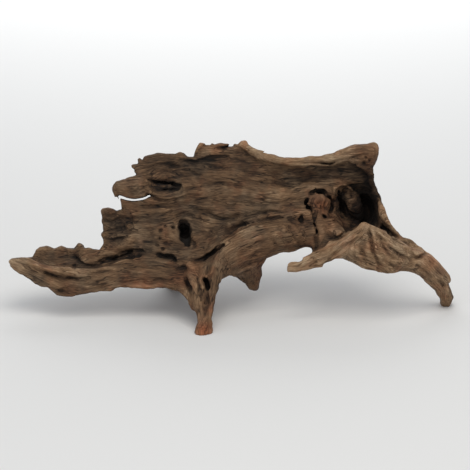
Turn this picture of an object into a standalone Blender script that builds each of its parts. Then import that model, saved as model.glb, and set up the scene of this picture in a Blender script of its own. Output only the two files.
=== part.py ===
"""Dry root: one grown piece of weathered wood, a metre long.

A broad slab of root wood leans back over a front leg. A hollowed arm runs out to the left, a
twisted limb comes down to the right, and a hidden rear root gives the third point of support.
Every outline and station below is in the frame of the broad face, in millimetres: x to the
right, y back into the wood, z up the face, with the sole of the front leg at the origin.
"""

import math

import bpy
import numpy as np
import openvdb as vdb
from mathutils import Matrix

MM = 0.001
LEAN = math.radians(18.0)  # how far the broad face leans back from upright
BASE_CENTRE = (2.0, 170.0)  # middle of the finished root seen from above, before it is moved there
CELL = 4.2  # spacing of the sampling lattice
TRIANGLES = 11900
LOW_CORNER = (-520.0, -30.0, -12.0)
HIGH_CORNER = (514.0, 352.0, 446.0)
EDGE_ROUNDING = 13.0
RIM_ROUNDING = 5.0
RIM_WEAR = [(16.0, 2.4)]  # width and rise of the torn edge
HOLLOW_WEAR = (9.0, 0.28)  # width, and rise for each mm of radius
BOWL_WEAR = (26.0, 4.0)
WALL_AT_EDGE = 24.0  # slab thickness behind its mean face where it runs out
WALL_GROWTH = 88.0  # added to it by this depth into the outline
GROWTH_DEPTH = 105.0
ARM_WALL = 42.0
GRAIN_STRETCH = 7.0  # furrows are this many times longer than they are wide
GRAIN_SWAY = [(120.0, 11.0), (46.0, 4.5)]  # width and rise of the waves that the grain makes
FURROWS = [(74.0, 6.0), (38.0, 5.0), (20.0, 3.2)]  # width and rise of each size of furrow
FULL_RELIEF_RADIUS = 44.0  # a limb this thick has furrows of full height, a thinner one lower
FULL_RELIEF_INSET = 55.0  # and so has the slab this far in from its outline
LEAST_RELIEF = 0.14
EDGE_RELIEF = 0.3
LINE_WANDER = [(55.0, 5.0), (15.0, 2.6)]  # width and sway of the lines worked into the face
LEAST_LINE = 4.5  # half width of the narrowest line that the lattice can hold
LINE_REACH = 34.0  # depth behind the skin that a line moves

# The root as seen square on.
SILHOUETTE = [
    (-500, 158), (-493, 164), (-475, 168), (-452, 169), (-450, 173), (-443, 184), (-434, 191), (-418, 194),
    (-400, 189), (-385, 194), (-371, 189), (-356, 187), (-351, 191), (-346, 200), (-342, 201), (-335, 196),
    (-331, 189), (-322, 190), (-313, 187), (-297, 184), (-292, 191), (-288, 200), (-290, 207), (-296, 218),
    (-290, 227), (-290, 241), (-294, 248), (-295, 261), (-296, 272), (-292, 279), (-277, 281), (-266, 278),
    (-259, 274), (-249, 277), (-250, 290), (-252, 299), (-256, 297), (-259, 304), (-263, 302), (-268, 315),
    (-270, 324), (-268, 330), (-259, 339), (-250, 342), (-238, 346), (-227, 351), (-214, 354), (-220, 360),
    (-218, 364), (-225, 369), (-227, 374), (-223, 378), (-212, 380), (-212, 389), (-207, 394), (-200, 389),
    (-198, 396), (-187, 400), (-166, 405), (-148, 403), (-126, 403), (-115, 407), (-106, 403), (-97, 396),
    (-86, 396), (-83, 407), (-76, 421), (-72, 428), (-47, 425), (-43, 429), (-38, 424), (-25, 428),
    (-4, 425), (2, 422), (9, 426), (14, 423), (22, 430), (32, 430), (38, 423), (47, 414), (56, 411),
    (81, 408), (70, 405), (88, 400), (110, 394), (122, 392), (155, 393), (200, 396), (230, 402),
    (245, 410), (263, 417), (279, 422), (308, 423), (313, 426), (324, 428), (331, 423), (333, 414),
    (331, 387), (324, 376), (320, 360), (324, 338), (330, 320), (335, 308), (342, 290), (349, 274),
    (353, 256), (360, 245), (371, 230), (382, 216), (389, 212), (403, 210), (414, 202), (421, 196),
    (436, 182), (450, 174), (466, 162), (482, 146), (490, 137), (496, 128), (497, 117), (490, 108),
    (495, 99), (500, 88), (503, 76), (500, 63), (493, 52), (479, 52), (475, 74), (461, 88), (448, 101),
    (436, 115), (425, 126), (414, 133), (398, 136), (380, 136), (362, 132), (344, 133), (324, 138),
    (302, 141), (290, 144), (279, 153), (268, 158), (259, 164), (252, 166), (234, 166), (223, 162),
    (207, 154), (205, 146), (196, 142), (166, 137), (144, 135), (126, 135), (126, 146), (128, 155),
    (133, 158), (153, 159), (158, 163), (160, 169), (169, 172), (178, 176), (182, 184), (166, 183),
    (153, 182), (146, 176), (133, 178), (119, 180), (106, 178), (92, 173), (81, 166), (74, 153), (70, 142),
    (70, 133), (65, 117), (63, 97), (58, 91), (50, 91), (43, 94), (38, 101), (32, 110), (20, 117),
    (2, 125), (-4, 126), (-14, 123), (-22, 117), (-27, 110), (-29, 94), (-34, 79), (-38, 61), (-40, 45),
    (-43, 32), (-40, 22), (-39, 11), (-40, -14), (-81, -14), (-81, 4), (-79, 11), (-74, 22), (-74, 29),
    (-79, 43), (-83, 47), (-90, 50), (-92, 56), (-97, 70), (-104, 81), (-115, 90), (-137, 97), (-148, 99),
    (-182, 98), (-216, 100), (-250, 100), (-261, 99), (-266, 94), (-272, 92), (-295, 91), (-317, 88),
    (-340, 83), (-358, 80), (-374, 81), (-392, 83), (-398, 88), (-400, 94), (-412, 99), (-430, 101),
    (-443, 108), (-452, 117), (-461, 122), (-475, 128), (-488, 140), (-495, 148),
]

# Coarse bounds of the broad slab and the arm, which leave out the leg, the shard and the limb.
SLAB_REGION = [
    (-540, 40), (-540, 460), (560, 460), (420, 330), (372, 270), (356, 248), (346, 222), (322, 196),
    (296, 172), (270, 160), (240, 156), (206, 148), (184, 146), (182, 190), (150, 196), (100, 172),
    (70, 154), (38, 140), (2, 126), (-29, 120), (-58, 112), (-92, 102), (-124, 92), (-182, 84),
]
FACE_DEPTHS = [
    (-493, 95, 160), (-450, 120, 169), (-418, 142, 189), (-380, 145, 191), (-342, 142, 200),
    (-306, 140, 187), (-452, 88, 135), (-385, 78, 99), (-385, 118, 148), (-328, 80, 106),
    (-328, 118, 158), (-272, 82, 106), (-268, 125, 166), (-261, 128, 194), (-290, 140, 225),
    (-290, 138, 270), (-227, 125, 225), (-238, 118, 286), (-261, 100, 324), (-216, 98, 331),
    (-182, 112, 297), (-216, 118, 374), (-160, 112, 387), (-160, 112, 207), (-182, 105, 158),
    (-106, 122, 230), (-70, 105, 184), (-70, 110, 297), (-70, 112, 376), (-70, 122, 421),
    (-14, 126, 425), (9, 112, 263), (32, 118, 376), (43, 112, 320), (99, 115, 297),
    (99, 108, 218), (155, 112, 184), (155, 112, 263), (119, 104, 387), (200, 100, 392),
    (268, 100, 410), (322, 104, 418), (119, 124, 356), (200, 124, 356), (268, 122, 360),
    (200, 120, 286), (256, 140, 297), (304, 175, 286), (335, 135, 308), (349, 118, 270),
    (353, 112, 243), (290, 150, 248), (234, 100, 218), (268, 92, 202), (2, 100, 140),
    (196, 80, 168), (215, 74, 160), (242, 68, 172), (65, 108, 166), (-36, 80, 135),
    (-92, 85, 122), (-148, 88, 117), (-205, 86, 128),
]
ARM_BEAM = [
    (-480, 104, 146, 10), (-441, 98, 128, 15), (-385, 94, 112, 22), (-340, 94, 110, 23),
    (-284, 98, 121, 25), (-227, 98, 126, 22), (-178, 98, 126, 24), (-133, 92, 119, 22),
    (-86, 80, 110, 20),
]
ARM_RIDGE = [
    (-490, 100, 159, 9), (-452, 94, 157, 11), (-407, 84, 145, 10), (-362, 78, 138, 9),
    (-317, 78, 134, 9), (-262, 82, 138, 9),
]
LEG_CORE = [
    (-70, 90, 130, 30), (-68, 68, 100, 29), (-65, 48, 72, 23), (-60, 30, 44, 16), (-58, 12, 18, 16),
]
LEG_LEFT = [
    (-88, 72, 148, 12), (-80, 52, 108, 14), (-72, 34, 72, 12), (-65, 18, 42, 10),
    (-62, 6, 16, 14), (-61, 0, 2, 19),
]
LEG_RIGHT = [
    (-27, 72, 162, 12), (-36, 54, 126, 13), (-42, 37, 90, 12), (-47, 22, 58, 10),
    (-50, 8, 27, 12),
]
LEG_WEB = [(-112, 74, 108, 12), (-97, 56, 80, 11), (-90, 44, 56, 8)]
ARCH_FOLD = [
    (-34, 82, 135, 20), (-4, 92, 164, 36), (36, 100, 186, 37), (83, 106, 208, 34),
    (137, 116, 213, 30),
]
ARCH_CREST = [
    (-33, 50, 106, 8), (-31, 58, 148, 9), (-18, 62, 184, 11), (14, 68, 210, 12),
    (45, 78, 228, 12), (79, 90, 236, 11), (122, 102, 245, 10),
]
SHARD = [(34, 122, 158, 30), (42, 146, 133, 27), (48, 165, 115, 18), (54, 184, 100, 10)]
LIMB = [
    (232, 68, 188, 18), (272, 60, 194, 30), (308, 58, 190, 45), (349, 64, 173, 38),
    (389, 78, 163, 29), (425, 98, 154, 26), (454, 122, 131, 26), (477, 145, 106, 21),
    (486, 165, 82, 17), (488, 184, 66, 12),
]
LIMB_LIP = [
    (116, 50, 146, 15), (134, 50, 147, 15), (152, 50, 150, 15), (166, 51, 155, 16), (182, 54, 161, 17),
    (203, 56, 166, 19), (228, 53, 177, 17), (254, 46, 195, 16), (277, 40, 213, 15),
    (297, 42, 231, 11),
]
LIMB_FOLD = [
    (299, 44, 236, 9), (322, 40, 224, 11), (349, 46, 202, 12), (380, 58, 182, 12),
    (421, 82, 162, 11),
]
LIMB_KEEL = [(295, 50, 164, 9), (317, 48, 153, 11), (353, 54, 146, 11), (389, 70, 148, 9)]
SHOULDER_STRAND = [
    (326, 124, 314, 8), (332, 120, 296, 9), (338, 116, 274, 10), (344, 106, 254, 10),
    (358, 98, 232, 9), (374, 98, 213, 9), (398, 104, 198, 11), (426, 112, 178, 12),
    (455, 130, 153, 14),
]
STRAND_WEB = [
    (341, 141, 290, 12), (343, 138, 266, 12), (347, 132, 246, 13), (358, 124, 226, 15),
    (382, 112, 202, 15), (410, 112, 184, 15),
]
TOP_BEAD = [
    (34, 120, 418, 8), (70, 114, 400, 9), (115, 106, 383, 10), (166, 102, 384, 9),
    (218, 100, 388, 9), (256, 98, 401, 13), (290, 98, 405, 17), (315, 100, 407, 16),
    (320, 102, 414, 11),
]
HORN = [(295, 106, 387, 18), (313, 114, 369, 12)]
BACK_TRUNK = [
    (-340, 160, 150, 22), (-240, 180, 190, 36), (-120, 200, 240, 50), (0, 205, 285, 54),
    (120, 200, 300, 50), (230, 196, 292, 48), (296, 206, 276, 42),
]
BACK_LIMB = [(120, 175, 238, 34), (225, 150, 232, 36), (300, 120, 205, 36), (360, 100, 180, 30)]
BACK_ROOT = [
    (-40, 190, 250, 40), (-84, 212, 206, 36), (-112, 244, 164, 30), (-126, 284, 128, 24),
    (-130, 319, 104, 20),
]
BACK_RIDGES = [
    [(-310, 172, 196, 11), (-160, 212, 262, 15), (20, 246, 326, 17), (180, 238, 334, 15),
     (292, 214, 322, 12)],
    [(-210, 196, 146, 13), (-70, 236, 196, 15), (70, 244, 222, 14), (214, 226, 250, 13)],
    [(-180, 186, 338, 11), (-60, 204, 366, 14), (80, 200, 372, 13), (190, 184, 374, 11), (268, 158, 376, 7)],
]
HOLLOWS = {
    "knot hole": [(-110, 2, 249, 8), (-107, 5, 238, 12), (-105, 6, 222, 13), (-101, 5, 206, 11),
                  (-94, 2, 196, 6)],
    "knot throat": [(-107, 22, 236, 12), (-104, 26, 218, 13), (-106, 44, 226, 10)],
    "sheltered slit": [(-180, 0, 340, 4), (-162, 4, 336, 8), (-142, 6, 331, 11), (-122, 4, 326, 9),
                       (-112, 1, 321, 4)],
    "behind the slit": [(-166, 14, 334, 8), (-146, 18, 330, 11), (-126, 18, 324, 9)],
    "crevice over the leg": [(-62, 0, 164, 3), (-46, 6, 174, 6), (-32, 9, 184, 7), (-16, 4, 194, 4)],
    "rot, upper": [(180, 2, 312, 4), (190, 8, 317, 7), (204, 9, 317, 8), (214, 3, 310, 4)],
    "rot, upper right": [(215, 3, 307, 4), (224, 6, 302, 6), (232, 4, 295, 5)],
    "rot, left": [(172, 3, 298, 4), (169, 9, 288, 8), (174, 10, 276, 8), (181, 3, 272, 4)],
    "rot, right": [(230, 3, 290, 4), (227, 7, 280, 6), (224, 3, 270, 4)],
    "rot, lower left": [(160, 2, 262, 3), (157, 4, 254, 5), (160, 2, 245, 3)],
    "rot crack": [(194, 1, 274, 3), (190, 4, 262, 4), (189, 5, 250, 4)],
    "rot slot": [(187, 2, 243, 4), (190, 9, 234, 8), (194, 3, 224, 4)],
    "behind the rot": [(176, 20, 284, 9), (196, 22, 308, 8), (220, 18, 296, 7)],
    "arm trough": [(-302, 0, 154, 3), (-284, 4, 157, 5), (-261, 7, 161, 7), (-234, 9, 169, 10),
                   (-210, 7, 175, 10)],
    "behind the trough": [(-272, 20, 162, 6), (-236, 26, 171, 9), (-212, 20, 176, 8)],
    "leg hole": [(-58, 3, 118, 5), (-53, 8, 108, 8), (-51, 5, 98, 6)],
    "leg hollow": [(-60, 0, 96, 4), (-56, 2, 80, 7), (-54, 2, 60, 6), (-55, 0, 44, 3)],
    "leg side": [(-104, 3, 122, 5), (-99, 6, 108, 7), (-92, 4, 92, 5), (-89, 1, 80, 3)],
    "strand slot": [(339, 1, 230, 4), (348, 4, 214, 7), (364, 5, 201, 7), (380, 2, 193, 4), (390, 0, 190, 2)],
    "cavity crescent": [(240, 2, 316, 4), (242, 8, 302, 7), (247, 10, 286, 8), (256, 6, 272, 6)],
}
BACK_HOLLOWS = [
    [(-150, 0, 232, 6), (-20, 3, 276, 12), (120, 3, 286, 13), (250, 0, 292, 7)],
    [(-120, 0, 306, 6), (10, 2, 352, 10), (150, 2, 352, 10), (270, 0, 350, 6)],
    [(40, 2, 300, 9), (62, 6, 306, 14), (88, 2, 304, 9)],
    [(-262, 0, 232, 5), (-214, 2, 262, 9), (-150, 0, 292, 6)],
]
CAVITY_BOWL = ((284, 112, 284), (56, 76, 58))
CAVITY_DEEP = ((309, 165, 270), (25, 55, 31))
CAVITY_WALL = [
    (316, 118, 356, 14), (328, 136, 330, 13), (336, 146, 304, 12), (345, 146, 272, 12), (352, 134, 246, 13),
]
CAVITY_BACKING = [(226, 190, 330, 36), (286, 194, 318, 34), (316, 192, 284, 32), (332, 172, 248, 26)]
CAVITY_HUMP = [(260, 160, 314, 7), (267, 172, 298, 14), (271, 177, 280, 13), (276, 180, 264, 8)]
FLAP_SLIT = [(-252, 305, 3), (-234, 299, 3), (-218, 297, 3), (-200, 300, 3), (-184, 307, 3)]
# Lines worked into the face: how far each reaches to the left and right of its way, then x, z and
# depth along it. A depth below zero stands out.
STROKES = {
    "under the top lump": (3, 12, [
        (-128, 387, 0), (-115, 386, 5), (-88, 382, 9), (-65, 387, 8), (-38, 392, 8), (-11, 393, 6),
        (2, 387, 0)]),
    "below the lump": (3, 8, [(-74, 378, 0), (-54, 374, 4), (-29, 369, 5), (-14, 367, 4), (-2, 364, 0)]),
    "upper grain": (3.5, 9, [
        (-200, 358, 0), (-182, 367, 4), (-160, 374, 5), (-137, 375, 5), (-110, 369, 5), (-79, 356, 4),
        (-56, 346, 0)]),
    "upper grain, second": (3, 8, [
        (-182, 353, 0), (-155, 361, 3), (-124, 360, 4.5), (-92, 349, 4), (-61, 340, 0)]),
    "upper hollow": (8, 7, [(-155, 380, 0), (-135, 374, 6), (-115, 369, 0)]),
    "top crevice": (3.5, 4.5, [(-38, 412, 0), (-29, 415, 4.8), (-16, 417, 7.8), (0, 420, 5.4), (11, 423, 0)]),
    "lump side": (5, 9, [(-83, 392, 0), (-74, 405, 4), (-61, 416, 5), (-52, 425, 3)]),
    "peak fold": (3, 9, [(11, 418, 0), (27, 410, 5), (43, 398, 6), (65, 387, 5), (88, 380, 0)]),
    "under the bead": (4, 22, [
        (34, 382, 0), (56, 380, 2.4), (88, 377, 4.2), (119, 372, 5.4), (155, 368, 6), (182, 372, 5.4),
        (218, 371, 4.8), (256, 372, 3.6), (286, 375, 0)]),
    "dark band": (4, 9, [
        (16, 362, 0), (43, 358, 4.8), (70, 360, 4), (97, 356, 4.8), (128, 345, 6.4), (164, 348, 4.8),
        (200, 354, 3.2), (232, 359, 0)]),
    "band, lower": (3, 8, [(43, 338, 0), (83, 340, 3), (133, 331, 4), (169, 333, 0)]),
    "recess by the flap": (12, 11, [
        (-191, 335, 0), (-176, 326, 9), (-155, 322, 15), (-133, 321, 18), (-117, 320, 13), (-104, 317, 0)]),
    "recess, upper edge": (2.5, 6, [
        (-191, 343, 0), (-176, 339, 6), (-160, 338, 8), (-142, 340, 8), (-124, 335, 6), (-112, 324, 0)]),
    "recess, step": (3, 4, [(-182, 317, 0), (-164, 320, 5), (-142, 318, 6), (-124, 315, 0)]),
    "recess, lip": (3, 4, [(-182, 308, 0), (-160, 302, -3), (-122, 303, -3), (-97, 307, 0)]),
    "flap line": (3, 5, [(-187, 309, 5), (-176, 305, 6), (-164, 298, 5), (-146, 295, 0)]),
    "face groove": (3.5, 7, [
        (-94, 274, 0), (-86, 272, 4), (-72, 269, 6), (-56, 263, 8), (-36, 256, 9), (-11, 256, 8),
        (9, 261, 6), (27, 270, 0)]),
    "groove hook": (3, 3, [(-79, 256, 0), (-73, 250, 5), (-68, 244, 0)]),
    "above the knot": (5, 10, [
        (-130, 250, 0), (-122, 260, 4), (-106, 264, 6), (-92, 259, 4), (-81, 248, 0)]),
    "below the knot": (4, 4, [(-97, 212, 4), (-90, 202, 8), (-83, 194, 7), (-82, 182, 0)]),
    "dark slot": (3, 8, [
        (-173, 174, 0), (-165, 171, 6), (-158, 166, 9), (-144, 165, 11), (-133, 164, 11), (-125, 158, 9),
        (-126, 148, 0)]),
    "trough, upper edge": (2.5, 11, [
        (-308, 155, 0), (-290, 160, 4), (-261, 168, 7), (-234, 180, 9), (-212, 184, 9), (-200, 179, 6),
        (-198, 169, 0)]),
    "trough, crevice": (3, 4.5, [
        (-360, 184, 0), (-353, 169, 6), (-344, 161, 10), (-331, 156, 10), (-317, 153, 9), (-304, 149, 8),
        (-292, 152, 0)]),
    "arm upper rim": (9, 8, [
        (-313, 162, 0), (-299, 169, -4), (-277, 178, -6), (-254, 186, -6), (-233, 198, -5), (-210, 213, 0)]),
    "left wall": (4, 30, [
        (-250, 281, 0), (-230, 268, 3.3), (-225, 252, 5), (-228, 230, 5), (-234, 207, 3.3), (-254, 191, 0)]),
    "wall line one": (2.5, 6, [(-295, 248, 0), (-277, 246, 5), (-254, 249, 5), (-236, 246, 0)]),
    "wall line two": (2.5, 6, [(-297, 230, 0), (-272, 227, 5), (-250, 231, 5), (-232, 227, 0)]),
    "wall line three": (2.5, 6, [(-292, 207, 0), (-270, 206, 5), (-245, 210, 4), (-232, 209, 0)]),
    "wall line four": (2.5, 5, [(-290, 263, 0), (-268, 260, 4), (-248, 263, 0)]),
    "arm ridge": (5, 5, [
        (-493, 161, 0), (-470, 162, -3), (-449, 156, -4), (-429, 147, -4), (-408, 141, -4),
        (-384, 136, -4), (-362, 133, -3), (-333, 132, 0)]),
    "arm groove": (3.5, 9, [
        (-421, 137, 0), (-414, 134, 5), (-396, 126, 8), (-378, 123, 9), (-358, 119, 8), (-339, 115, 6),
        (-324, 118, 4), (-317, 128, 0)]),
    "arm ledge": (9, 3, [
        (-461, 165, 0), (-439, 156, 4), (-423, 150, 5), (-403, 148, 5), (-389, 143, 4), (-369, 137, 0)]),
    "arm basin": (16, 14, [
        (-475, 171, 0), (-443, 169, 5), (-407, 164, 8), (-376, 166, 11), (-349, 166, 10), (-326, 162, 0)]),
    "beam line": (3, 7, [
        (-326, 126, 0), (-308, 132, 3), (-268, 135, 4), (-234, 134, 4), (-212, 130, 3), (-182, 124, 0)]),
    "arm lower line": (3, 6, [
        (-396, 94, 0), (-389, 97, 4), (-369, 101, 5), (-346, 99, 5), (-324, 94, 4), (-295, 97, 4),
        (-263, 99, 0)]),
    "red patch": (3, 10, [
        (-259, 106, 0), (-236, 112, 5), (-207, 114, 5), (-182, 111, 4), (-160, 115, 5), (-133, 108, 0)]),
    "arm face line": (3, 6, [(-389, 115, 0), (-358, 108, 3), (-317, 108, 3), (-286, 115, 0)]),
    "over the fold": (14, 3, [
        (-18, 205, 0), (2, 216, 3.2), (20, 226, 5.2), (47, 236, 5.9), (76, 242, 4.5), (124, 246, 3.9), (166, 241, 2.6),
        (184, 232, 0)]),
    "arch pocket": (10, 8, [(-22, 214, 0), (-4, 224, 9), (16, 233, 12), (36, 243, 9), (52, 250, 0)]),
    "crevice over the leg": (4, 7, [
        (-92, 151, 0), (-79, 156, 6), (-61, 164, 10), (-40, 179, 14), (-25, 189, 12), (-11, 199, 0)]),
    "web strand": (3.5, 3.5, [
        (-65, 124, 0), (-54, 127, -4), (-43, 133, -5), (-36, 149, -5), (-29, 171, 0)]),
    "leg shoulder": (3, 9, [(-133, 140, 0), (-115, 141, 3), (-97, 140, 4), (-83, 133, 0)]),
    "leg hollow": (6, 6, [(-108, 122, 0), (-99, 115, 8), (-92, 101, 9), (-88, 86, 6), (-86, 72, 0)]),
    "leg column line": (3, 3.5, [(-74, 130, 0), (-70, 108, 5), (-63, 81, 5), (-61, 54, 0)]),
    "arch line one": (4, 4, [(106, 250, 0), (110, 230, 2.5), (117, 212, 3), (130, 194, 2), (146, 182, 0)]),
    "arch line two": (4, 4, [(128, 248, 0), (137, 227, 2.5), (148, 207, 2.5), (164, 191, 0)]),
    "arch line three": (4, 4, [(86, 245, 0), (90, 220, 1.8), (99, 200, 1.8), (112, 187, 0)]),
    "arch seam": (3, 4, [(187, 225, 0), (188, 214, 7), (190, 200, 7), (192, 187, 6), (187, 176, 0)]),
    "arch grain one": (4, 7, [(2, 155, 0), (20, 176, 3), (47, 191, 4), (74, 207, 4), (101, 216, 0)]),
    "arch grain two": (4, 7, [(20, 140, 0), (38, 158, 3), (61, 176, 4), (92, 191, 0)]),
    "limb crest": (4, 7, [
        (194, 158, 0), (212, 170, -4), (228, 184, -6), (254, 209, -6), (273, 227, -5), (290, 237, -4),
        (306, 245, 0)]),
    "over the crest": (7, 3, [(218, 194, 0), (240, 216, 6), (259, 232, 8), (274, 240, 6), (288, 248, 0)]),
    "crest line": (4, 4, [
        (200, 155, 0), (217, 163, 2.8), (245, 190, 3.5), (273, 209, 3.5), (295, 218, 2.1), (308, 223, 0)]),
    "limb fold one": (3.5, 5, [
        (304, 236, 0), (310, 220, 5.2), (310, 201, 6.8), (315, 179, 6), (326, 162, 4.5), (340, 151, 0)]),
    "limb fold two": (3, 5, [(315, 232, 0), (324, 213, 4.2), (333, 190, 5.6), (346, 176, 4.2), (367, 166, 0)]),
    "limb fold three": (4, 4, [(292, 223, 0), (295, 202, 2.5), (292, 180, 3), (299, 162, 2.5), (315, 146, 0)]),
    "limb fold four": (4, 4, [(270, 207, 0), (274, 187, 2.4), (279, 169, 2.4), (295, 151, 0)]),
    "limb flow one": (3, 6, [
        (320, 236, 0), (340, 207, 5), (358, 189, 6), (378, 178, 6), (403, 166, 4), (423, 158, 0)]),
    "limb flow two": (3, 5, [(326, 180, 0), (348, 158, 4), (368, 150, 5), (395, 145, 4), (418, 137, 0)]),
    "limb ledge": (4, 5, [(382, 194, 0), (403, 178, 5), (415, 171, 9), (432, 171, 7), (448, 176, 0)]),
    "limb flow three": (3, 6, [(389, 158, 0), (416, 148, 3), (443, 130, 4), (464, 110, 0)]),
    "tip mark": (5, 5, [(461, 119, 0), (470, 108, 7), (479, 94, 0)]),
    "stump grain": (3, 3, [(128, 147, 0), (155, 146, 3), (182, 152, 3), (202, 162, 0)]),
    "horn line": (3, 6, [(256, 405, 0), (277, 410, 4), (299, 412, 5), (320, 416, 0)]),
    "horn fold": (4, 8, [(272, 364, 0), (290, 360, 4), (308, 351, 5), (324, 333, 0)]),
    "face line one": (3, 7, [(-79, 328, 0), (-38, 333, 4), (7, 328, 5), (56, 324, 4), (110, 315, 0)]),
    "face line two": (3, 7, [
        (-70, 295, 0), (-34, 290, 4), (2, 286, 4), (43, 292, 4), (83, 286, 3), (124, 290, 0)]),
    "face line three": (3, 6, [(43, 268, 0), (74, 272, 4), (110, 268, 5), (146, 272, 0)]),
    "face line four": (3, 6, [(-223, 284, 0), (-191, 277, 4), (-160, 281, 4), (-124, 277, 0)]),
    "face line five": (3, 6, [(-214, 241, 0), (-191, 234, 3), (-171, 238, 3), (-151, 232, 0)]),
    "rim arc": (3.5, 3.5, [
        (234, 288, 0), (233, 308, -5), (236, 324, -7), (248, 334, -7), (261, 333, -6), (274, 322, -4),
        (286, 308, 0)]),
}

# Small pits and lumps of the face: x, z, radius and depth.
PITS = [
    (-155, 230, 4, 6), (-148, 235, 3.5, 5), (-132, 234, 4, 6), (-146, 201, 3.5, 6), (-137, 200, 3, 5),
    (-155, 184, 3.5, 5), (-160, 214, 3.5, 5), (-142, 218, 4, 5), (-126, 245, 3.5, 4), (-166, 196, 3.5, 4),
    (296, 382, 3.5, 8), (-354, 147, 6, 8), (212, 261, 4, 7), (269, 308, 4, 7), (313, 344, 4, -3),
    (310, 378, 6, -4), (225, 236, 19, -9), (205, 288, 17, -4), (173, 261, 8, -5), (159, 254, 6, 7),
    (450, 158, 9, 3), (-50, 110, 8, 8),
]

LEG_TO_ARCH = [
    (-52, 8, 27, 22), (-40, 38, 90, 22), (-27, 72, 162, 26), (14, 80, 195, 40), (83, 100, 215, 40),
    (160, 112, 225, 34),
]
LEG_TO_ARM = [
    (-61, 0, 2, 26), (-72, 35, 72, 24), (-84, 60, 112, 24), (-133, 76, 122, 30),
    (-227, 80, 128, 34), (-340, 78, 112, 32), (-441, 86, 140, 26), (-493, 92, 160, 22),
]
KNOTS = [((-106, 227), 26), ((303, 268), 46), ((205, 296), 26), ((15, 229), 20), ((-152, 331), 24)]


def smooth_min(a, b, reach):
    h = np.clip(0.5 + 0.5 * (b - a) / reach, 0.0, 1.0)
    return b + (a - b) * h - reach * h * (1.0 - h)


def smooth_max(a, b, reach):
    return -smooth_min(-a, -b, reach)


def smooth_step(t):
    t = np.clip(t, 0.0, 1.0)
    return t * t * (3.0 - 2.0 * t)


def rounded(stations, parts=4):
    """The stations joined by a Catmull-Rom curve."""
    s = np.array(stations, float)
    s = np.vstack([2 * s[0] - s[1], s, 2 * s[-1] - s[-2]])
    curve = []
    for a, b, c, d in zip(s, s[1:], s[2:], s[3:]):
        for t in np.arange(parts) / parts:
            curve.append(
                0.5 * (2 * b + (c - a) * t + (2 * a - 5 * b + 4 * c - d) * t**2
                       + (3 * b - a - 3 * c + d) * t**3)
            )
    curve.append(s[-2])
    return np.array(curve)


def value_noise(p, seed):
    """Smooth noise from -1 to 1 over points p, one random value at each whole coordinate."""
    cell = np.floor(p).astype(np.int64)
    f = p - cell
    f = f * f * (3.0 - 2.0 * f)
    total = np.zeros(len(p))
    for corner in np.ndindex(2, 2, 2):
        n = cell + corner
        h = (n[:, 0] * 73856093) ^ (n[:, 1] * 19349663) ^ (n[:, 2] * 83492791) ^ (seed * 2654435761)
        h = ((h ^ (h >> 13)) * 1274126177) & 0xFFFFFFFF
        h = h ^ (h >> 16)
        weight = np.prod(np.where(corner, f, 1.0 - f), axis=1)
        total += weight * (h / 2147483648.0 - 1.0)
    return total


class Lattice:
    """The sample points of the face frame and the signed distance held at each."""

    def __init__(self, low, high, cell):
        self.axes = [np.arange(a, b, cell) for a, b in zip(low, high)]
        self.low = np.array(low)
        self.cell = cell
        self.rim = outline_distance(SILHOUETTE, self.axes[0], self.axes[2])
        self.edge = np.maximum(
            self.rim, outline_distance(SLAB_REGION, self.axes[0], self.axes[2])
        )
        self.field = None

    def near(self, points, reach):
        """Slices of the lattice within reach of the points, and the coordinates in them."""
        cuts = []
        for axis, low, high in zip(self.axes, points.min(0) - reach, points.max(0) + reach):
            first, last = np.searchsorted(axis, (low, high))
            cuts.append(slice(max(first - 1, 0), max(last + 1, 2)))
        return tuple(cuts), np.ix_(*(axis[cut] for axis, cut in zip(self.axes, cuts)))

    def blend_in(self, distance, cuts, reach):
        self.field[cuts] = smooth_min(self.field[cuts], distance, reach)

    def carve_out(self, distance, cuts, reach):
        self.field[cuts] = smooth_max(self.field[cuts], -distance, reach)


def swept_distance(path, coordinates):
    """Distance to a bar of changing radius along the path."""
    best = None
    for a, b in zip(path, path[1:]):
        run = b[:-1] - a[:-1]
        length = max(run @ run, 1e-6)
        t = sum((q - p) * r for q, p, r in zip(coordinates, a, run)) / length
        t = np.clip(t, 0.0, 1.0)
        gap = np.sqrt(sum((q - p - t * r) ** 2 for q, p, r in zip(coordinates, a, run)))
        gap = gap - (a[-1] + t * (b[-1] - a[-1]))
        best = gap if best is None else np.minimum(best, gap)
    return best


def worn_by(coordinates, width, rise, seed):
    """Noise over the coordinates that makes a cut ragged."""
    points = np.stack(np.broadcast_arrays(*coordinates), -1)
    return rise * value_noise(points.reshape(-1, 3) / width, seed).reshape(points.shape[:3])


def add_bar(lattice, stations, reach):
    path = rounded(stations)
    cuts, coordinates = lattice.near(path[:, :3], path[:, 3].max() + 2.2 * reach + 2 * CELL)
    lattice.blend_in(swept_distance(path, coordinates), cuts, reach)


def cut_bar(lattice, stations, reach):
    path = rounded(stations)
    widest = path[:, 3].max()
    cuts, coordinates = lattice.near(path[:, :3], widest + 2.2 * reach + 2 * CELL)
    wear = worn_by(coordinates, HOLLOW_WEAR[0], HOLLOW_WEAR[1] * widest, 60)
    lattice.carve_out(swept_distance(path, coordinates) + wear, cuts, reach)


def cut_ellipsoid(lattice, centre, radii, reach):
    centre, radii = np.array(centre, float), np.array(radii, float)
    box = np.array([centre - radii, centre + radii])
    cuts, coordinates = lattice.near(box, 2 * reach + 2 * CELL)
    scaled = np.sqrt(sum(((q - c) / r) ** 2 for q, c, r in zip(coordinates, centre, radii)))
    wear = worn_by(coordinates, *BOWL_WEAR, 61)
    lattice.carve_out((scaled - 1.0) * radii.min() + wear, cuts, reach)


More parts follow.
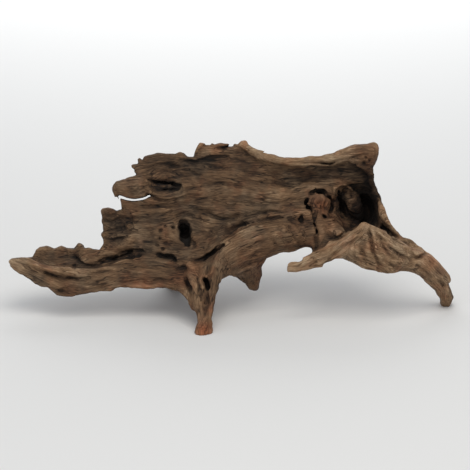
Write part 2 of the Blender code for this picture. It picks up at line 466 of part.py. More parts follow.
def outline_distance(outline, x, z):
    """Signed distance to the outline over the x, z plane, negative inside it."""
    x, z = x[:, None], z[None, :]
    best = np.full((x.size, z.size), 1e12)
    inside = np.zeros(best.shape, bool)
    for (x0, z0), (x1, z1) in zip(outline, outline[1:] + outline[:1]):
        dx, dz = x1 - x0, z1 - z0
        t = np.clip(((x - x0) * dx + (z - z0) * dz) / (dx * dx + dz * dz), 0.0, 1.0)
        best = np.minimum(best, (x - x0 - t * dx) ** 2 + (z - z0 - t * dz) ** 2)
        if dz:
            inside ^= ((z0 > z) != (z1 > z)) & (x < x0 + (z - z0) * dx / dz)
    return np.where(inside, -1.0, 1.0) * np.sqrt(best)


def face_depth_function(posts, softness=26.0):
    """A smooth depth through the posts: a constant plus one multiquadric a post."""
    posts = np.array(posts, float)
    at = posts[:, [0, 2]]
    mean = posts[:, 1].mean()

    def kernel(p, q):
        gap = ((p[..., None, :] - q) ** 2).sum(-1)
        return np.sqrt(gap + softness**2)

    weights = np.linalg.solve(kernel(at, at) - 6.0 * np.eye(len(at)), posts[:, 1] - mean)
    return lambda x, z: mean + kernel(np.stack(np.broadcast_arrays(x, z), -1), at) @ weights


def on_skin(lattice, stations, side=1):
    """The stations with each depth counted from the skin met first, from the front or the back."""
    placed = []
    for x, sunk, z, radius in stations:
        i, k = (int(round((value - axis[0]) / lattice.cell))
                for value, axis in ((x, lattice.axes[0]), (z, lattice.axes[2])))
        column = lattice.field[i, ::side, k]
        first = int(np.argmax(column < 0.0))
        share = column[first - 1] / (column[first - 1] - column[first])
        skin_depth = lattice.axes[1][::side][first - 1] + side * share * lattice.cell
        placed.append((x, skin_depth + side * sunk, z, radius))
    return placed


def slab(lattice, depth):
    """The broad slab with the arm: between its face and its back, inside the outline."""
    x, y, z = lattice.axes
    edge = lattice.edge
    front = depth(x[:, None], z[None, :])
    growth = smooth_step(-edge / GROWTH_DEPTH)
    body_back = smooth_max(front + 26.0, 118.0 + WALL_AT_EDGE + WALL_GROWTH * growth, 20.0)
    arm = smooth_step((-220.0 - x[:, None]) / 110.0)
    back = body_back + (front + ARM_WALL - body_back) * arm
    y = y[None, :, None]
    between = smooth_max(front[:, None, :] - y, y - back[:, None, :], 10.0)
    lattice.field = smooth_max(between, edge[:, None, :], EDGE_ROUNDING)


def cut_slit(lattice, stations):
    """A slit through the slab, from face to back."""
    path = rounded([(x, 0.0, z, half) for x, z, half in stations])
    cuts, (x, _, z) = lattice.near(path[:, :3], 14.0)
    cuts = (cuts[0], slice(None), cuts[2])
    path[:, 1] = 0.0
    lattice.carve_out(swept_distance(path, (x, np.zeros((1, 1, 1)), z)), cuts, 3.0)


def along_path(points, stations):
    """Grain coordinates about a path, long way first, its nearness from 0 to 1, and its relief."""
    path = rounded(stations, 3)
    best = np.full(len(points), 1e9)
    grain = np.zeros((len(points), 3))
    thick = np.ones(len(points))
    start = 0.0
    for a, b in zip(path, path[1:]):
        run = b[:3] - a[:3]
        length = np.linalg.norm(run)
        side = np.cross(run, (0.0, 1.0, 0.0))
        side /= np.linalg.norm(side)
        t = np.clip((points - a[:3]) @ run / length**2, 0.0, 1.0)
        away = points - a[:3] - t[:, None] * run
        radius = a[3] + t * (b[3] - a[3])
        gap = np.linalg.norm(away, axis=1) / radius
        here = np.stack([(start + t * length) / GRAIN_STRETCH, away @ side, away[:, 1]], 1)
        nearer = gap < best
        best = np.where(nearer, gap, best)
        grain = np.where(nearer[:, None], here, grain)
        thick = np.where(nearer, radius, thick)
        start += length
    relief = np.clip((thick / FULL_RELIEF_RADIUS) ** 2, LEAST_RELIEF, 1.0)
    return grain, smooth_step((2.0 - best) / 0.8), relief


def grain_fields(points, inset):
    """Grain coordinates, weight and relief for each path that the grain follows, then the slab."""
    x, y, z = points.T
    bent = z.copy()
    for seed, (width, sway) in enumerate(GRAIN_SWAY):
        bent += sway * value_noise(points / (2.0 * width, width, width), 40 + seed)
    for (kx, kz), radius in KNOTS:
        square = (x - kx) ** 2 + (z - kz) ** 2
        bent -= (z - kz) * radius**2 / (square + radius**2)
    fields = []
    left = np.ones(len(points))
    for stations in (LIMB_LIP, LIMB, LEG_TO_ARCH, LEG_TO_ARM, SHARD, BACK_ROOT):
        grain, weight, relief = along_path(points, stations)
        fields.append((grain, weight * left, relief))
        left = left * (1.0 - weight)
    relief = EDGE_RELIEF + (1.0 - EDGE_RELIEF) * smooth_step(inset / FULL_RELIEF_INSET)
    fields.append((np.stack([x / GRAIN_STRETCH, y, bent], 1), left, relief))
    return fields


def furrow_height(points, inset, scales):
    """Height of the furrows: folded noise drawn out along the grain, for each width and rise."""
    height = np.zeros(len(points))
    for grain, weight, relief in grain_fields(points, inset):
        here = weight > 0.0
        for seed, (width, rise) in enumerate(scales):
            folded = 2.0 * np.abs(value_noise(grain[here] / width, seed)) - 0.5
            height[here] += (weight * relief)[here] * rise * folded
    return height


def furrow(lattice, scales):
    """Raises and lowers the skin along the grain by moving the field close to it."""
    near = np.nonzero(np.abs(lattice.field) < 2.0 * sum(rise for _, rise in scales))
    points = np.stack([axis[i] for axis, i in zip(lattice.axes, near)], 1)
    inset = -lattice.edge[near[0], near[2]]
    lattice.field[near] -= furrow_height(points, inset, scales)


def stroke_over(x, z, stations, left, right):
    """The depth of a line at its nearest point, fading with the gap to it on each side."""
    best = np.full(x.shape, 1e12)
    value = np.zeros(x.shape)
    path = rounded(stations)
    for (ax, az, a), (bx, bz, b) in zip(path, path[1:]):
        dx, dz = bx - ax, bz - az
        t = np.clip(((x - ax) * dx + (z - az) * dz) / max(dx * dx + dz * dz, 1e-6), 0.0, 1.0)
        gap = (x - ax - t * dx) ** 2 + (z - az - t * dz) ** 2
        width = np.where(dx * (z - az) - dz * (x - ax) > 0.0, left, right)
        nearer = gap < best
        best = np.where(nearer, gap, best)
        value = np.where(nearer, (a + t * (b - a)) * np.exp(-gap / width**2), value)
    return value


def face_relief(lattice):
    """Depth of every line and pit over the x, z plane, on coordinates that wander a little."""
    x, z = np.meshgrid(lattice.axes[0], lattice.axes[2], indexing="ij")
    points = np.stack([x.ravel(), np.zeros(x.size), z.ravel()], 1)
    sways = []
    for turn in range(2):
        sway = sum(rise * value_noise(points / width, 50 + 2 * seed + turn)
                   for seed, (width, rise) in enumerate(LINE_WANDER))
        sways.append(sway.reshape(x.shape))
    u, v = x + sways[0], z + sways[1]
    relief = np.zeros(x.shape)
    for left, right, stations in STROKES.values():
        px, pz, _ = np.array(stations, float).T
        reach = 2.5 * max(left, right) + 10.0
        i = slice(*np.searchsorted(lattice.axes[0], (px.min() - reach, px.max() + reach)))
        k = slice(*np.searchsorted(lattice.axes[2], (pz.min() - reach, pz.max() + reach)))
        relief[i, k] += stroke_over(
            u[i, k], v[i, k], stations, max(left, LEAST_LINE), max(right, LEAST_LINE)
        )
    for px, pz, radius, depth in PITS:
        radius = max(radius, LEAST_LINE)
        relief += depth * np.exp(-(((u - px) ** 2 + (v - pz) ** 2) / radius**2) ** 1.5)
    return relief


def work_face(lattice):
    """Moves the field near the skin met first from the front back by the relief."""
    skin_depth = lattice.axes[1][np.argmax(lattice.field < 0.0, axis=1)]
    behind = (lattice.axes[1][None, :, None] - skin_depth[:, None, :]) / LINE_REACH
    lattice.field += face_relief(lattice)[:, None, :] * smooth_step(1.4 - behind)


def trim_rim(lattice):
    """Takes away the wood outside the outline and leaves the edge torn a little."""
    rim = np.repeat(lattice.rim[:, None, :], len(lattice.axes[1]), axis=1)
    near = np.nonzero((np.abs(rim) < 9.0) & (lattice.field < 9.0))
    points = np.stack([axis[i] for axis, i in zip(lattice.axes, near)], 1)
    for seed, (width, rise) in enumerate(RIM_WEAR):
        rim[near] += rise * value_noise(points / (width, 2.5 * width, width), 70 + seed)
    lattice.field = smooth_max(lattice.field, rim, RIM_ROUNDING)


def grow(cell):
    """The signed distance field of the whole root."""
    lattice = Lattice(LOW_CORNER, HIGH_CORNER, cell)
    slab(lattice, face_depth_function(FACE_DEPTHS))
    add_bar(lattice, BACK_TRUNK, 40.0)
    add_bar(lattice, BACK_LIMB, 30.0)
    add_bar(lattice, BACK_ROOT, 30.0)
    add_bar(lattice, ARM_BEAM, 18.0)
    add_bar(lattice, ARCH_FOLD, 20.0)
    add_bar(lattice, SHARD, 14.0)
    add_bar(lattice, LIMB, 16.0)
    add_bar(lattice, LEG_CORE, 16.0)
    for stations in (TOP_BEAD, HORN, *BACK_RIDGES):
        add_bar(lattice, stations, 18.0)
    for stations in (ARM_RIDGE, ARCH_CREST):
        add_bar(lattice, stations, 12.0)
    add_bar(lattice, CAVITY_BACKING, 24.0)
    cut_ellipsoid(lattice, *CAVITY_BOWL, 20.0)
    cut_ellipsoid(lattice, *CAVITY_DEEP, 10.0)
    add_bar(lattice, CAVITY_WALL, 8.0)
    add_bar(lattice, STRAND_WEB, 8.0)
    for stations in (LEG_LEFT, LEG_RIGHT, LEG_WEB):
        add_bar(lattice, stations, 9.0)
    for stations in (LIMB_LIP, LIMB_FOLD, LIMB_KEEL, SHOULDER_STRAND):
        add_bar(lattice, stations, 12.0)
    add_bar(lattice, CAVITY_HUMP, 6.0)
    furrow(lattice, FURROWS)
    work_face(lattice)
    trim_rim(lattice)
    hollows = [on_skin(lattice, stations) for stations in HOLLOWS.values()]
    hollows += [on_skin(lattice, stations, -1) for stations in BACK_HOLLOWS]
    for stations in hollows:
        cut_bar(lattice, stations, 3.5)
    cut_slit(lattice, FLAP_SLIT)
    _, y, z = np.ix_(*lattice.axes)
    below_floor = y * math.sin(LEAN) - z * math.cos(LEAN)
    lattice.field = np.maximum(lattice.field, below_floor)
    return lattice


def skin(lattice):
    """Points in millimetres and triangles of the zero level of the field."""
    limit = 3.0 * lattice.cell
    grid = vdb.FloatGrid(limit)
    grid.gridClass = vdb.GridClass.LEVEL_SET
    grid.copyFromArray(np.clip(lattice.field, -limit, limit).astype(np.float32))
    points, quads = grid.convertToQuads(isovalue=0.0)
    points = points.astype(float) * lattice.cell + lattice.low
    quads = quads.astype(np.int64)
    return points, np.vstack([quads[:, [2, 1, 0]], quads[:, [3, 2, 0]]])


def largest_shell(points, faces):
    """The connected piece with the most points, so that no loose crumb or closed void stays."""
    label = np.arange(len(points))
    while True:
        lowest = label[faces].min(1)
        before = label.copy()
        for corner in range(3):
            np.minimum.at(label, faces[:, corner], lowest)
        label = label[label]
        if (label == before).all():
            break
    names, counts = np.unique(label, return_counts=True)
    keep = label == names[counts.argmax()]
    index = np.cumsum(keep) - 1
    return points[keep], index[faces[keep[faces].all(1)]]


def mesh_object(name, points, faces):
    mesh = bpy.data.meshes.new(name)
    mesh.from_pydata(points.tolist(), [], faces.tolist())
    mesh.update()
    return bpy.data.objects.new(name, mesh)


def decimated(obj, triangles):
    """Fewer, larger triangles where the wood is smoother."""
    modifier = obj.modifiers.new("Decimate", "DECIMATE")
    modifier.ratio = triangles / len(obj.data.polygons)
    modifier.use_collapse_triangulate = True
    graph = bpy.context.evaluated_depsgraph_get()
    mesh = bpy.data.meshes.new_from_object(obj.evaluated_get(graph))
    obj.modifiers.clear()
    obj.data = mesh


def weathered_wood():
    material = bpy.data.materials.new("Weathered root wood")
    material.use_nodes = True
    shader = material.node_tree.nodes["Principled BSDF"]
    shader.inputs["Base Color"].default_value = (0.115, 0.078, 0.052, 1.0)
    shader.inputs["Roughness"].default_value = 0.85
    shader.inputs["Metallic"].default_value = 0.0
    return material


def clear_scene():
    for obj in list(bpy.data.objects):
        bpy.data.objects.remove(obj, do_unlink=True)


def main():
    clear_scene()
    points, faces = largest_shell(*skin(grow(CELL)))
    root = mesh_object("dry_root", points, faces)
    collection = bpy.data.collections.new("dry_root")
    bpy.context.scene.collection.children.link(collection)
    collection.objects.link(root)
    centred = Matrix.Translation((-BASE_CENTRE[0] * MM, -BASE_CENTRE[1] * MM, 0.0))
    root.data.transform(centred @ Matrix.Rotation(-LEAN, 4, "X") @ Matrix.Scale(MM, 4))
    decimated(root, TRIANGLES)
    for vertex in root.data.vertices:
        if vertex.co.z < 1.2 * MM:
            vertex.co.z = 0.0
    root.data.materials.append(weathered_wood())


main()
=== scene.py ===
# Dry root: the photographed piece of weathered root wood, dressed over its CAD solid.
import math

import bpy
import numpy as np
import openvdb as vdb
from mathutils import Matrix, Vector


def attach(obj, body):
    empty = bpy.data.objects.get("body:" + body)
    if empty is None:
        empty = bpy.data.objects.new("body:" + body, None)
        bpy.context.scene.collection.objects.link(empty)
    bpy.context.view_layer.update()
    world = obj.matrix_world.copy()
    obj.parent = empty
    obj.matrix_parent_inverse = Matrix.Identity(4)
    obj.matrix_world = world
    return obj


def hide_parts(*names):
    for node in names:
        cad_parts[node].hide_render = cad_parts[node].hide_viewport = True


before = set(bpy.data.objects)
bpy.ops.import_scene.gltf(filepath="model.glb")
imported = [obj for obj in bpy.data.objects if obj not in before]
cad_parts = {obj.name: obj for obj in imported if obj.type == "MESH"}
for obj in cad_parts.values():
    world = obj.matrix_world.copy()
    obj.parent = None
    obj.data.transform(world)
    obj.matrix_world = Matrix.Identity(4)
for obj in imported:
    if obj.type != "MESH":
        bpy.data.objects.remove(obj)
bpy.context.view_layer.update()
print("CAD solid loaded")

# Lengths of the root are in millimetres in the frame of its broad face: x to the right, y back
# into the wood, z up the face, with the sole of the front leg at the origin.
rootSettings = {
    "lean": math.radians(18.0),  # the broad face leans back by this from upright
    "baseCentre": (2.0, 170.0),  # middle of the root seen from above, moved to the origin
    "cell": 2.6,  # spacing of the sampling lattice
    "lowCorner": (-520.0, -30.0, -12.0),
    "highCorner": (514.0, 352.0, 446.0),
    "edgeRounding": 13.0,  # where the slab ends at its outline
    "slabRounding": 10.0,  # where its face and back come together
    "rimRounding": 3.5,
    "rimWear": [(16.0, 2.4), (7.0, 1.3)],  # width and rise of the torn edge
    "rimReach": 9.0,  # how far from the rim the tearing goes
    "hollowWear": (9.0, 0.28),  # width, and rise for each mm of radius
    "hollowRounding": 3.5,
    "cavityWear": (26.0, 4.0),  # width and rise
    "lineWander": [(55.0, 5.0), (15.0, 2.6)],  # width and sway of the lines worked into the face
    "lineReach": 34.0,  # depth behind the skin that a line moves
    "leastLine": 0.05,  # shallower work is left out
    "grainSway": [(120.0, 11.0), (46.0, 4.5)],  # width and sway of the grain's waves
    "leastWall": 26.0,  # least thickness of the slab
    "backDepth": 118.0,  # y of the back before it swells
    "wallAtEdge": 24.0,  # how far the back stands behind that at the outline
    "wallGrowth": 88.0,  # and how much further
    "growthDepth": 105.0,  # this far inside the outline
    "backRounding": 20.0,
    "armStart": -220.0,  # x where the slab turns into the arm
    "armRun": 110.0,  # and the length over which it does
    "armWall": 42.0,  # thickness of the slab there
    "grainStretch": 7.0,  # furrows are this many times longer than wide
    "furrows": [(74.0, 5.4), (38.0, 4.0), (20.0, 2.5), (11.0, 1.5)],  # width and rise
    "fineFurrows": [(6.5, 1.0), (4.2, 0.7)],  # the same, worked into the finished skin
    "fullReliefRadius": 44.0,  # furrows are lower on bars thinner than this
    "leastRelief": 0.14,  # but no lower than this share
    "fullReliefInset": 55.0,  # and lower on the slab nearer its outline than this
    "edgeRelief": 0.3,  # down to this share
    "triangles": 192000,
    "floorSnap": 0.0012,  # m: the soles' points under this height lie on the floor
}

# Each kind of unevenness draws its own noise, from these numbers up.
noiseSeeds = {
    "furrows": 0, "fineFurrows": 10, "grainSway": 40, "lineWander": 50, "hollows": 60,
    "cavity": 61, "rimWear": 70,
}

# The root as seen square on.
silhouette = [
    (-500, 158), (-493, 164), (-475, 168), (-452, 169), (-450, 173), (-443, 184), (-434, 191),
    (-418, 194), (-400, 189), (-385, 194), (-371, 189), (-356, 187), (-351, 191), (-346, 200),
    (-342, 201), (-335, 196), (-331, 189), (-322, 190), (-313, 187), (-297, 184), (-292, 191),
    (-288, 200), (-290, 207), (-296, 218), (-290, 227), (-290, 241), (-294, 248), (-295, 261),
    (-296, 272), (-292, 279), (-277, 281), (-266, 278), (-259, 274), (-249, 277), (-250, 290),
    (-252, 299), (-256, 297), (-259, 304), (-263, 302), (-268, 315), (-270, 324), (-268, 330),
    (-259, 339), (-250, 342), (-238, 346), (-227, 351), (-214, 354), (-220, 360), (-218, 364),
    (-225, 369), (-227, 374), (-223, 378), (-212, 380), (-212, 389), (-207, 394), (-200, 389),
    (-198, 396), (-187, 400), (-166, 405), (-148, 403), (-126, 403), (-115, 407), (-106, 403),
    (-97, 396), (-86, 396), (-83, 407), (-76, 421), (-72, 428), (-47, 425), (-43, 429), (-38, 424),
    (-25, 428), (-4, 425), (2, 422), (9, 426), (14, 423), (22, 430), (32, 430), (38, 423),
    (47, 414), (56, 411), (81, 408), (70, 405), (88, 400), (110, 394), (122, 392), (155, 393),
    (200, 396), (230, 402), (245, 410), (263, 417), (279, 422), (308, 423), (313, 426), (324, 428),
    (331, 423), (333, 414), (331, 387), (324, 376), (320, 360), (324, 338), (330, 320), (335, 308),
    (342, 290), (349, 274), (353, 256), (360, 245), (371, 230), (382, 216), (389, 212), (403, 210),
    (414, 202), (421, 196), (436, 182), (450, 174), (466, 162), (482, 146), (490, 137), (496, 128),
    (497, 117), (490, 108), (495, 99), (500, 88), (503, 76), (500, 63), (493, 52), (479, 52),
    (475, 74), (461, 88), (448, 101), (436, 115), (425, 126), (414, 133), (398, 136), (380, 136),
    (362, 132), (344, 133), (324, 138), (302, 141), (290, 144), (279, 153), (268, 158), (259, 164),
    (252, 166), (234, 166), (223, 162), (207, 154), (205, 146), (196, 142), (166, 137), (144, 135),
    (126, 135), (126, 146), (128, 155), (133, 158), (153, 159), (158, 163), (160, 169), (169, 172),
    (178, 176), (182, 184), (166, 183), (153, 182), (146, 176), (133, 178), (119, 180), (106, 178),
    (92, 173), (81, 166), (74, 153), (70, 142), (70, 133), (65, 117), (63, 97), (58, 91), (50, 91),
    (43, 94), (38, 101), (32, 110), (20, 117), (2, 125), (-4, 126), (-14, 123), (-22, 117),
    (-27, 110), (-29, 94), (-34, 79), (-38, 61), (-40, 45), (-43, 32), (-40, 22), (-39, 11),
    (-40, -14), (-81, -14), (-81, 4), (-79, 11), (-74, 22), (-74, 29), (-79, 43), (-83, 47),
    (-90, 50), (-92, 56), (-97, 70), (-104, 81), (-115, 90), (-137, 97), (-148, 99), (-182, 98),
    (-216, 100), (-250, 100), (-261, 99), (-266, 94), (-272, 92), (-295, 91), (-317, 88),
    (-340, 83), (-358, 80), (-374, 81), (-392, 83), (-398, 88), (-400, 94), (-412, 99),
    (-430, 101), (-443, 108), (-452, 117), (-461, 122), (-475, 128), (-488, 140), (-495, 148),
]

# Coarse bounds of the broad slab and the arm, which leave out the leg, the shard and the limb.
slabRegion = [
    (-540, 40), (-540, 460), (560, 460), (420, 330), (372, 270), (356, 248), (346, 222),
    (322, 196), (296, 172), (270, 160), (240, 156), (206, 148), (184, 146), (182, 190), (150, 196),
    (100, 172), (70, 154), (38, 140), (2, 126), (-29, 120), (-58, 112), (-92, 102), (-124, 92),
    (-182, 84),
]

# Points that the broad face passes near: x, y and z.
faceDepths = [
    (-493, 95, 160), (-450, 120, 169), (-418, 142, 189), (-380, 145, 191), (-342, 142, 200),
    (-306, 140, 187), (-452, 88, 135), (-385, 78, 99), (-385, 118, 148), (-328, 80, 106),
    (-328, 118, 158), (-272, 82, 106), (-268, 125, 166), (-261, 128, 194), (-290, 140, 225),
    (-290, 138, 270), (-227, 125, 225), (-238, 118, 286), (-261, 100, 324), (-216, 98, 331),
    (-182, 112, 297), (-216, 118, 374), (-160, 112, 387), (-160, 112, 207), (-182, 105, 158),
    (-106, 122, 230), (-70, 105, 184), (-70, 110, 297), (-70, 112, 376), (-70, 122, 421),
    (-14, 126, 425), (9, 112, 263), (32, 118, 376), (43, 112, 320), (99, 115, 297), (99, 108, 218),
    (155, 112, 184), (155, 112, 263), (119, 104, 387), (200, 100, 392), (268, 100, 410),
    (322, 104, 418), (119, 124, 356), (200, 124, 356), (268, 122, 360), (200, 120, 286),
    (256, 140, 297), (304, 175, 286), (335, 135, 308), (349, 118, 270), (353, 112, 243),
    (290, 150, 248), (234, 100, 218), (268, 92, 202), (2, 100, 140), (196, 80, 168),
    (215, 74, 160), (242, 68, 172), (65, 108, 166), (-36, 80, 135), (-92, 85, 122),
    (-148, 88, 117), (-205, 86, 128),
]

# Bars of wood, from the left arm round to the back: x, y, z and radius at each station.
armBeam = [
    (-480, 104, 146, 10), (-441, 98, 128, 15), (-385, 94, 112, 22), (-340, 94, 110, 23),
    (-284, 98, 121, 25), (-227, 98, 126, 22), (-178, 98, 126, 24), (-133, 92, 119, 22),
    (-86, 80, 110, 20),
]
armRidge = [
    (-490, 100, 159, 9), (-452, 94, 157, 11), (-407, 84, 145, 10), (-362, 78, 138, 9),
    (-317, 79, 134, 8), (-262, 90, 138, 6), (-222, 101, 140, 3),
]
legCore = [
    (-70, 90, 130, 30), (-68, 68, 100, 29), (-65, 48, 72, 23), (-60, 30, 44, 16),
    (-58, 17, 18, 13),
]
legLeft = [
    (-88, 72, 148, 12), (-80, 52, 108, 14), (-72, 34, 72, 12), (-65, 18, 42, 10), (-64, 5, 16, 12),
    (-65, -3, 2, 13),
]
legRight = [
    (-27, 72, 162, 12), (-36, 54, 126, 13), (-42, 37, 90, 12), (-47, 22, 58, 10),
    (-50, 10, 27, 11), (-54, 5, 2, 13),
]
legWeb = [(-112, 74, 108, 12), (-97, 56, 80, 11), (-90, 44, 56, 8)]
archFold = [
    (-34, 82, 135, 20), (-4, 92, 164, 36), (36, 100, 186, 37), (83, 106, 208, 34),
    (137, 116, 213, 30),
]
archCrest = [
    (-33, 50, 106, 8), (-31, 58, 148, 9), (-18, 62, 184, 11), (14, 68, 210, 12), (45, 78, 228, 12),
    (79, 90, 236, 11), (122, 102, 245, 10),
]
shard = [(34, 122, 158, 30), (42, 146, 133, 27), (47, 165, 115, 21), (50, 184, 100, 14)]
limb = [
    (232, 68, 188, 18), (272, 60, 194, 30), (308, 58, 190, 45), (349, 64, 173, 38),
    (389, 78, 163, 29), (425, 98, 154, 26), (454, 122, 131, 26), (479, 145, 107, 23),
    (487, 165, 84, 23), (489, 184, 66, 17),
]
limbLip = [
    (116, 50, 146, 15), (134, 50, 147, 15), (152, 50, 150, 15), (166, 51, 155, 16),
    (182, 54, 161, 17), (203, 56, 166, 19), (228, 53, 177, 17), (254, 46, 195, 16),
    (277, 40, 213, 15), (297, 42, 231, 11),
]
limbFold = [
    (299, 44, 236, 9), (322, 40, 224, 11), (349, 46, 202, 12), (380, 58, 182, 12),
    (421, 82, 162, 11),
]
limbKeel = [(295, 50, 164, 9), (317, 48, 153, 11), (353, 54, 146, 11), (389, 70, 148, 9)]
shoulderStrand = [
    (336, 120, 290, 6), (341, 115, 277, 9), (347, 106, 260, 10), (358, 98, 241, 9),
    (373, 98, 222, 9), (396, 104, 204, 11), (426, 112, 180, 12), (455, 130, 153, 14),
]
strandWeb = [
    (328, 132, 314, 11), (335, 137, 301, 12), (341, 141, 290, 13), (343, 138, 266, 13),
    (347, 132, 246, 13), (358, 124, 226, 15), (382, 112, 202, 15), (410, 112, 184, 15),
]
topBead = [
    (34, 120, 418, 8), (70, 114, 400, 9), (115, 106, 383, 10), (166, 102, 384, 9),
    (218, 100, 388, 9), (256, 98, 401, 13), (290, 98, 405, 17), (315, 100, 407, 16),
    (320, 102, 414, 11),
]
horn = [(295, 106, 387, 18), (313, 114, 369, 12)]
backTrunk = [
    (-340, 160, 150, 22), (-240, 180, 190, 36), (-120, 200, 240, 50), (0, 205, 285, 54),
    (120, 200, 300, 50), (230, 196, 292, 48), (296, 206, 276, 42),
]
backLimb = [(120, 175, 238, 34), (225, 150, 232, 36), (300, 120, 205, 36), (360, 100, 180, 30)]
backRoot = [
    (-40, 190, 250, 40), (-84, 212, 206, 36), (-112, 244, 164, 30), (-126, 284, 128, 24),
    (-130, 319, 104, 20),
]
backRidges = [
    [(-310, 172, 196, 11), (-160, 212, 262, 15), (20, 246, 326, 17), (180, 238, 334, 15),
     (292, 214, 322, 12)],
    [(-210, 196, 146, 13), (-70, 236, 196, 15), (70, 244, 222, 14), (214, 226, 250, 13)],
    [(-180, 186, 338, 11), (-60, 204, 366, 14), (80, 200, 372, 13), (190, 184, 374, 11),
     (268, 158, 376, 7)],
]

# Hollows cut from the front: x, depth under the skin, z and radius at each station. Then the same
# from the back.
hollows = {
    "knot hole": [
        (-110, 2, 249, 8), (-107, 5, 238, 12), (-105, 6, 222, 13), (-101, 5, 206, 11),
        (-94, 2, 196, 6)],
    "knot throat": [(-107, 22, 236, 12), (-104, 26, 218, 13), (-106, 44, 226, 10)],
    "sheltered slit": [
        (-188, 0, 343, 3), (-168, 4, 340, 5), (-150, 6, 337, 6), (-132, 6, 334, 6),
        (-116, 2, 330, 4)],
    "behind the slit": [(-160, 14, 339, 5), (-138, 16, 335, 6)],
    "slit floor": [(-150, 1, 322, 2), (-134, 3, 321, 3), (-118, 2, 322, 3)],
    "crevice over the leg": [
        (-66, 0, 160, 3), (-50, 3, 169, 6), (-36, 7, 179, 8), (-20, 5, 191, 6), (-15, 2, 195, 4)],
    "rot, upper": [(180, 2, 312, 4), (190, 8, 317, 7), (204, 9, 317, 8), (214, 3, 310, 4)],
    "rot, upper right": [(215, 3, 307, 4), (224, 6, 302, 6), (232, 4, 295, 5)],
    "rot, left": [(172, 3, 298, 4), (169, 9, 288, 8), (174, 10, 276, 8), (181, 3, 272, 4)],
    "rot, right": [(230, 3, 290, 4), (227, 7, 280, 6), (224, 3, 270, 4)],
    "rot, lower left": [(160, 0, 262, 3), (157, 1, 254, 4), (160, 0, 245, 3)],
    "rot crack": [(194, 1, 274, 3), (190, 4, 262, 4), (189, 5, 250, 4)],
    "rot slot": [(187, 2, 243, 4), (190, 9, 234, 8), (194, 3, 224, 4)],
    "behind the rot": [(176, 20, 284, 9), (196, 22, 308, 8), (220, 18, 296, 7)],
    "arm trough": [
        (-304, 0, 154, 3), (-286, 3, 158, 4), (-266, 4, 163, 6), (-246, 3, 168, 8),
        (-226, 1, 172, 10), (-211, -3, 175, 10)],
    "behind the trough": [
        (-270, 10, 164, 3), (-246, 11, 173, 4), (-226, 10, 179, 4), (-212, 6, 182, 3)],
    "leg hole": [(-58, 3, 118, 5), (-53, 8, 108, 8), (-51, 5, 98, 6)],
    "leg hollow": [
        (-56, 0, 98, 5), (-56, 1, 84, 7), (-56, 1, 66, 8), (-57, 0, 50, 6), (-58, -1, 38, 4)],
    "leg side": [(-101, -3, 119, 5), (-95, -3, 109, 7), (-90, -4, 98, 6)],
    "strand slot": [
        (338, 1, 240, 4), (346, 6, 229, 7), (357, 8, 217, 8), (369, 7, 206, 7), (381, 3, 198, 4),
        (391, 0, 195, 2)],
    "cavity crescent": [
        (243, 2, 318, 3), (243, 6, 306, 6), (246, 8, 290, 7), (253, 6, 274, 5), (262, 2, 262, 3)],
}
backHollows = [
    [(-150, 0, 232, 6), (-20, 3, 276, 12), (120, 3, 286, 13), (250, 0, 292, 7)],
    [(-120, 0, 306, 6), (10, 2, 352, 10), (150, 2, 352, 10), (270, 0, 350, 6)],
    [(40, 2, 300, 9), (62, 6, 306, 14), (88, 2, 304, 9)],
    [(-262, 0, 232, 5), (-214, 2, 262, 9), (-150, 0, 292, 6)],
]

# Bars that wall, back and floor the deep hollow, and the hump inside it.
cavityWall = [
    (316, 118, 356, 14), (328, 136, 330, 13), (336, 146, 304, 12), (345, 146, 272, 12),
    (352, 134, 246, 13),
]
cavityRearWall = [
    (320, 160, 332, 11), (326, 167, 314, 12), (336, 171, 290, 13), (343, 171, 262, 13),
]
cavityBacking = [
    (226, 190, 330, 36), (286, 194, 318, 34), (316, 192, 284, 32), (332, 172, 248, 26),
]
cavityFloor = [(258, 172, 222, 20), (303, 172, 213, 21), (324, 166, 213, 17)]
cavityHump = [(266, 160, 316, 12), (276, 172, 298, 19), (284, 180, 278, 19), (291, 188, 260, 13)]

# The open slit under the flap: x, z and half its width.
flapSlit = [(-252, 305, 3), (-234, 299, 3), (-218, 297, 3), (-200, 300, 3), (-184, 307, 3)]

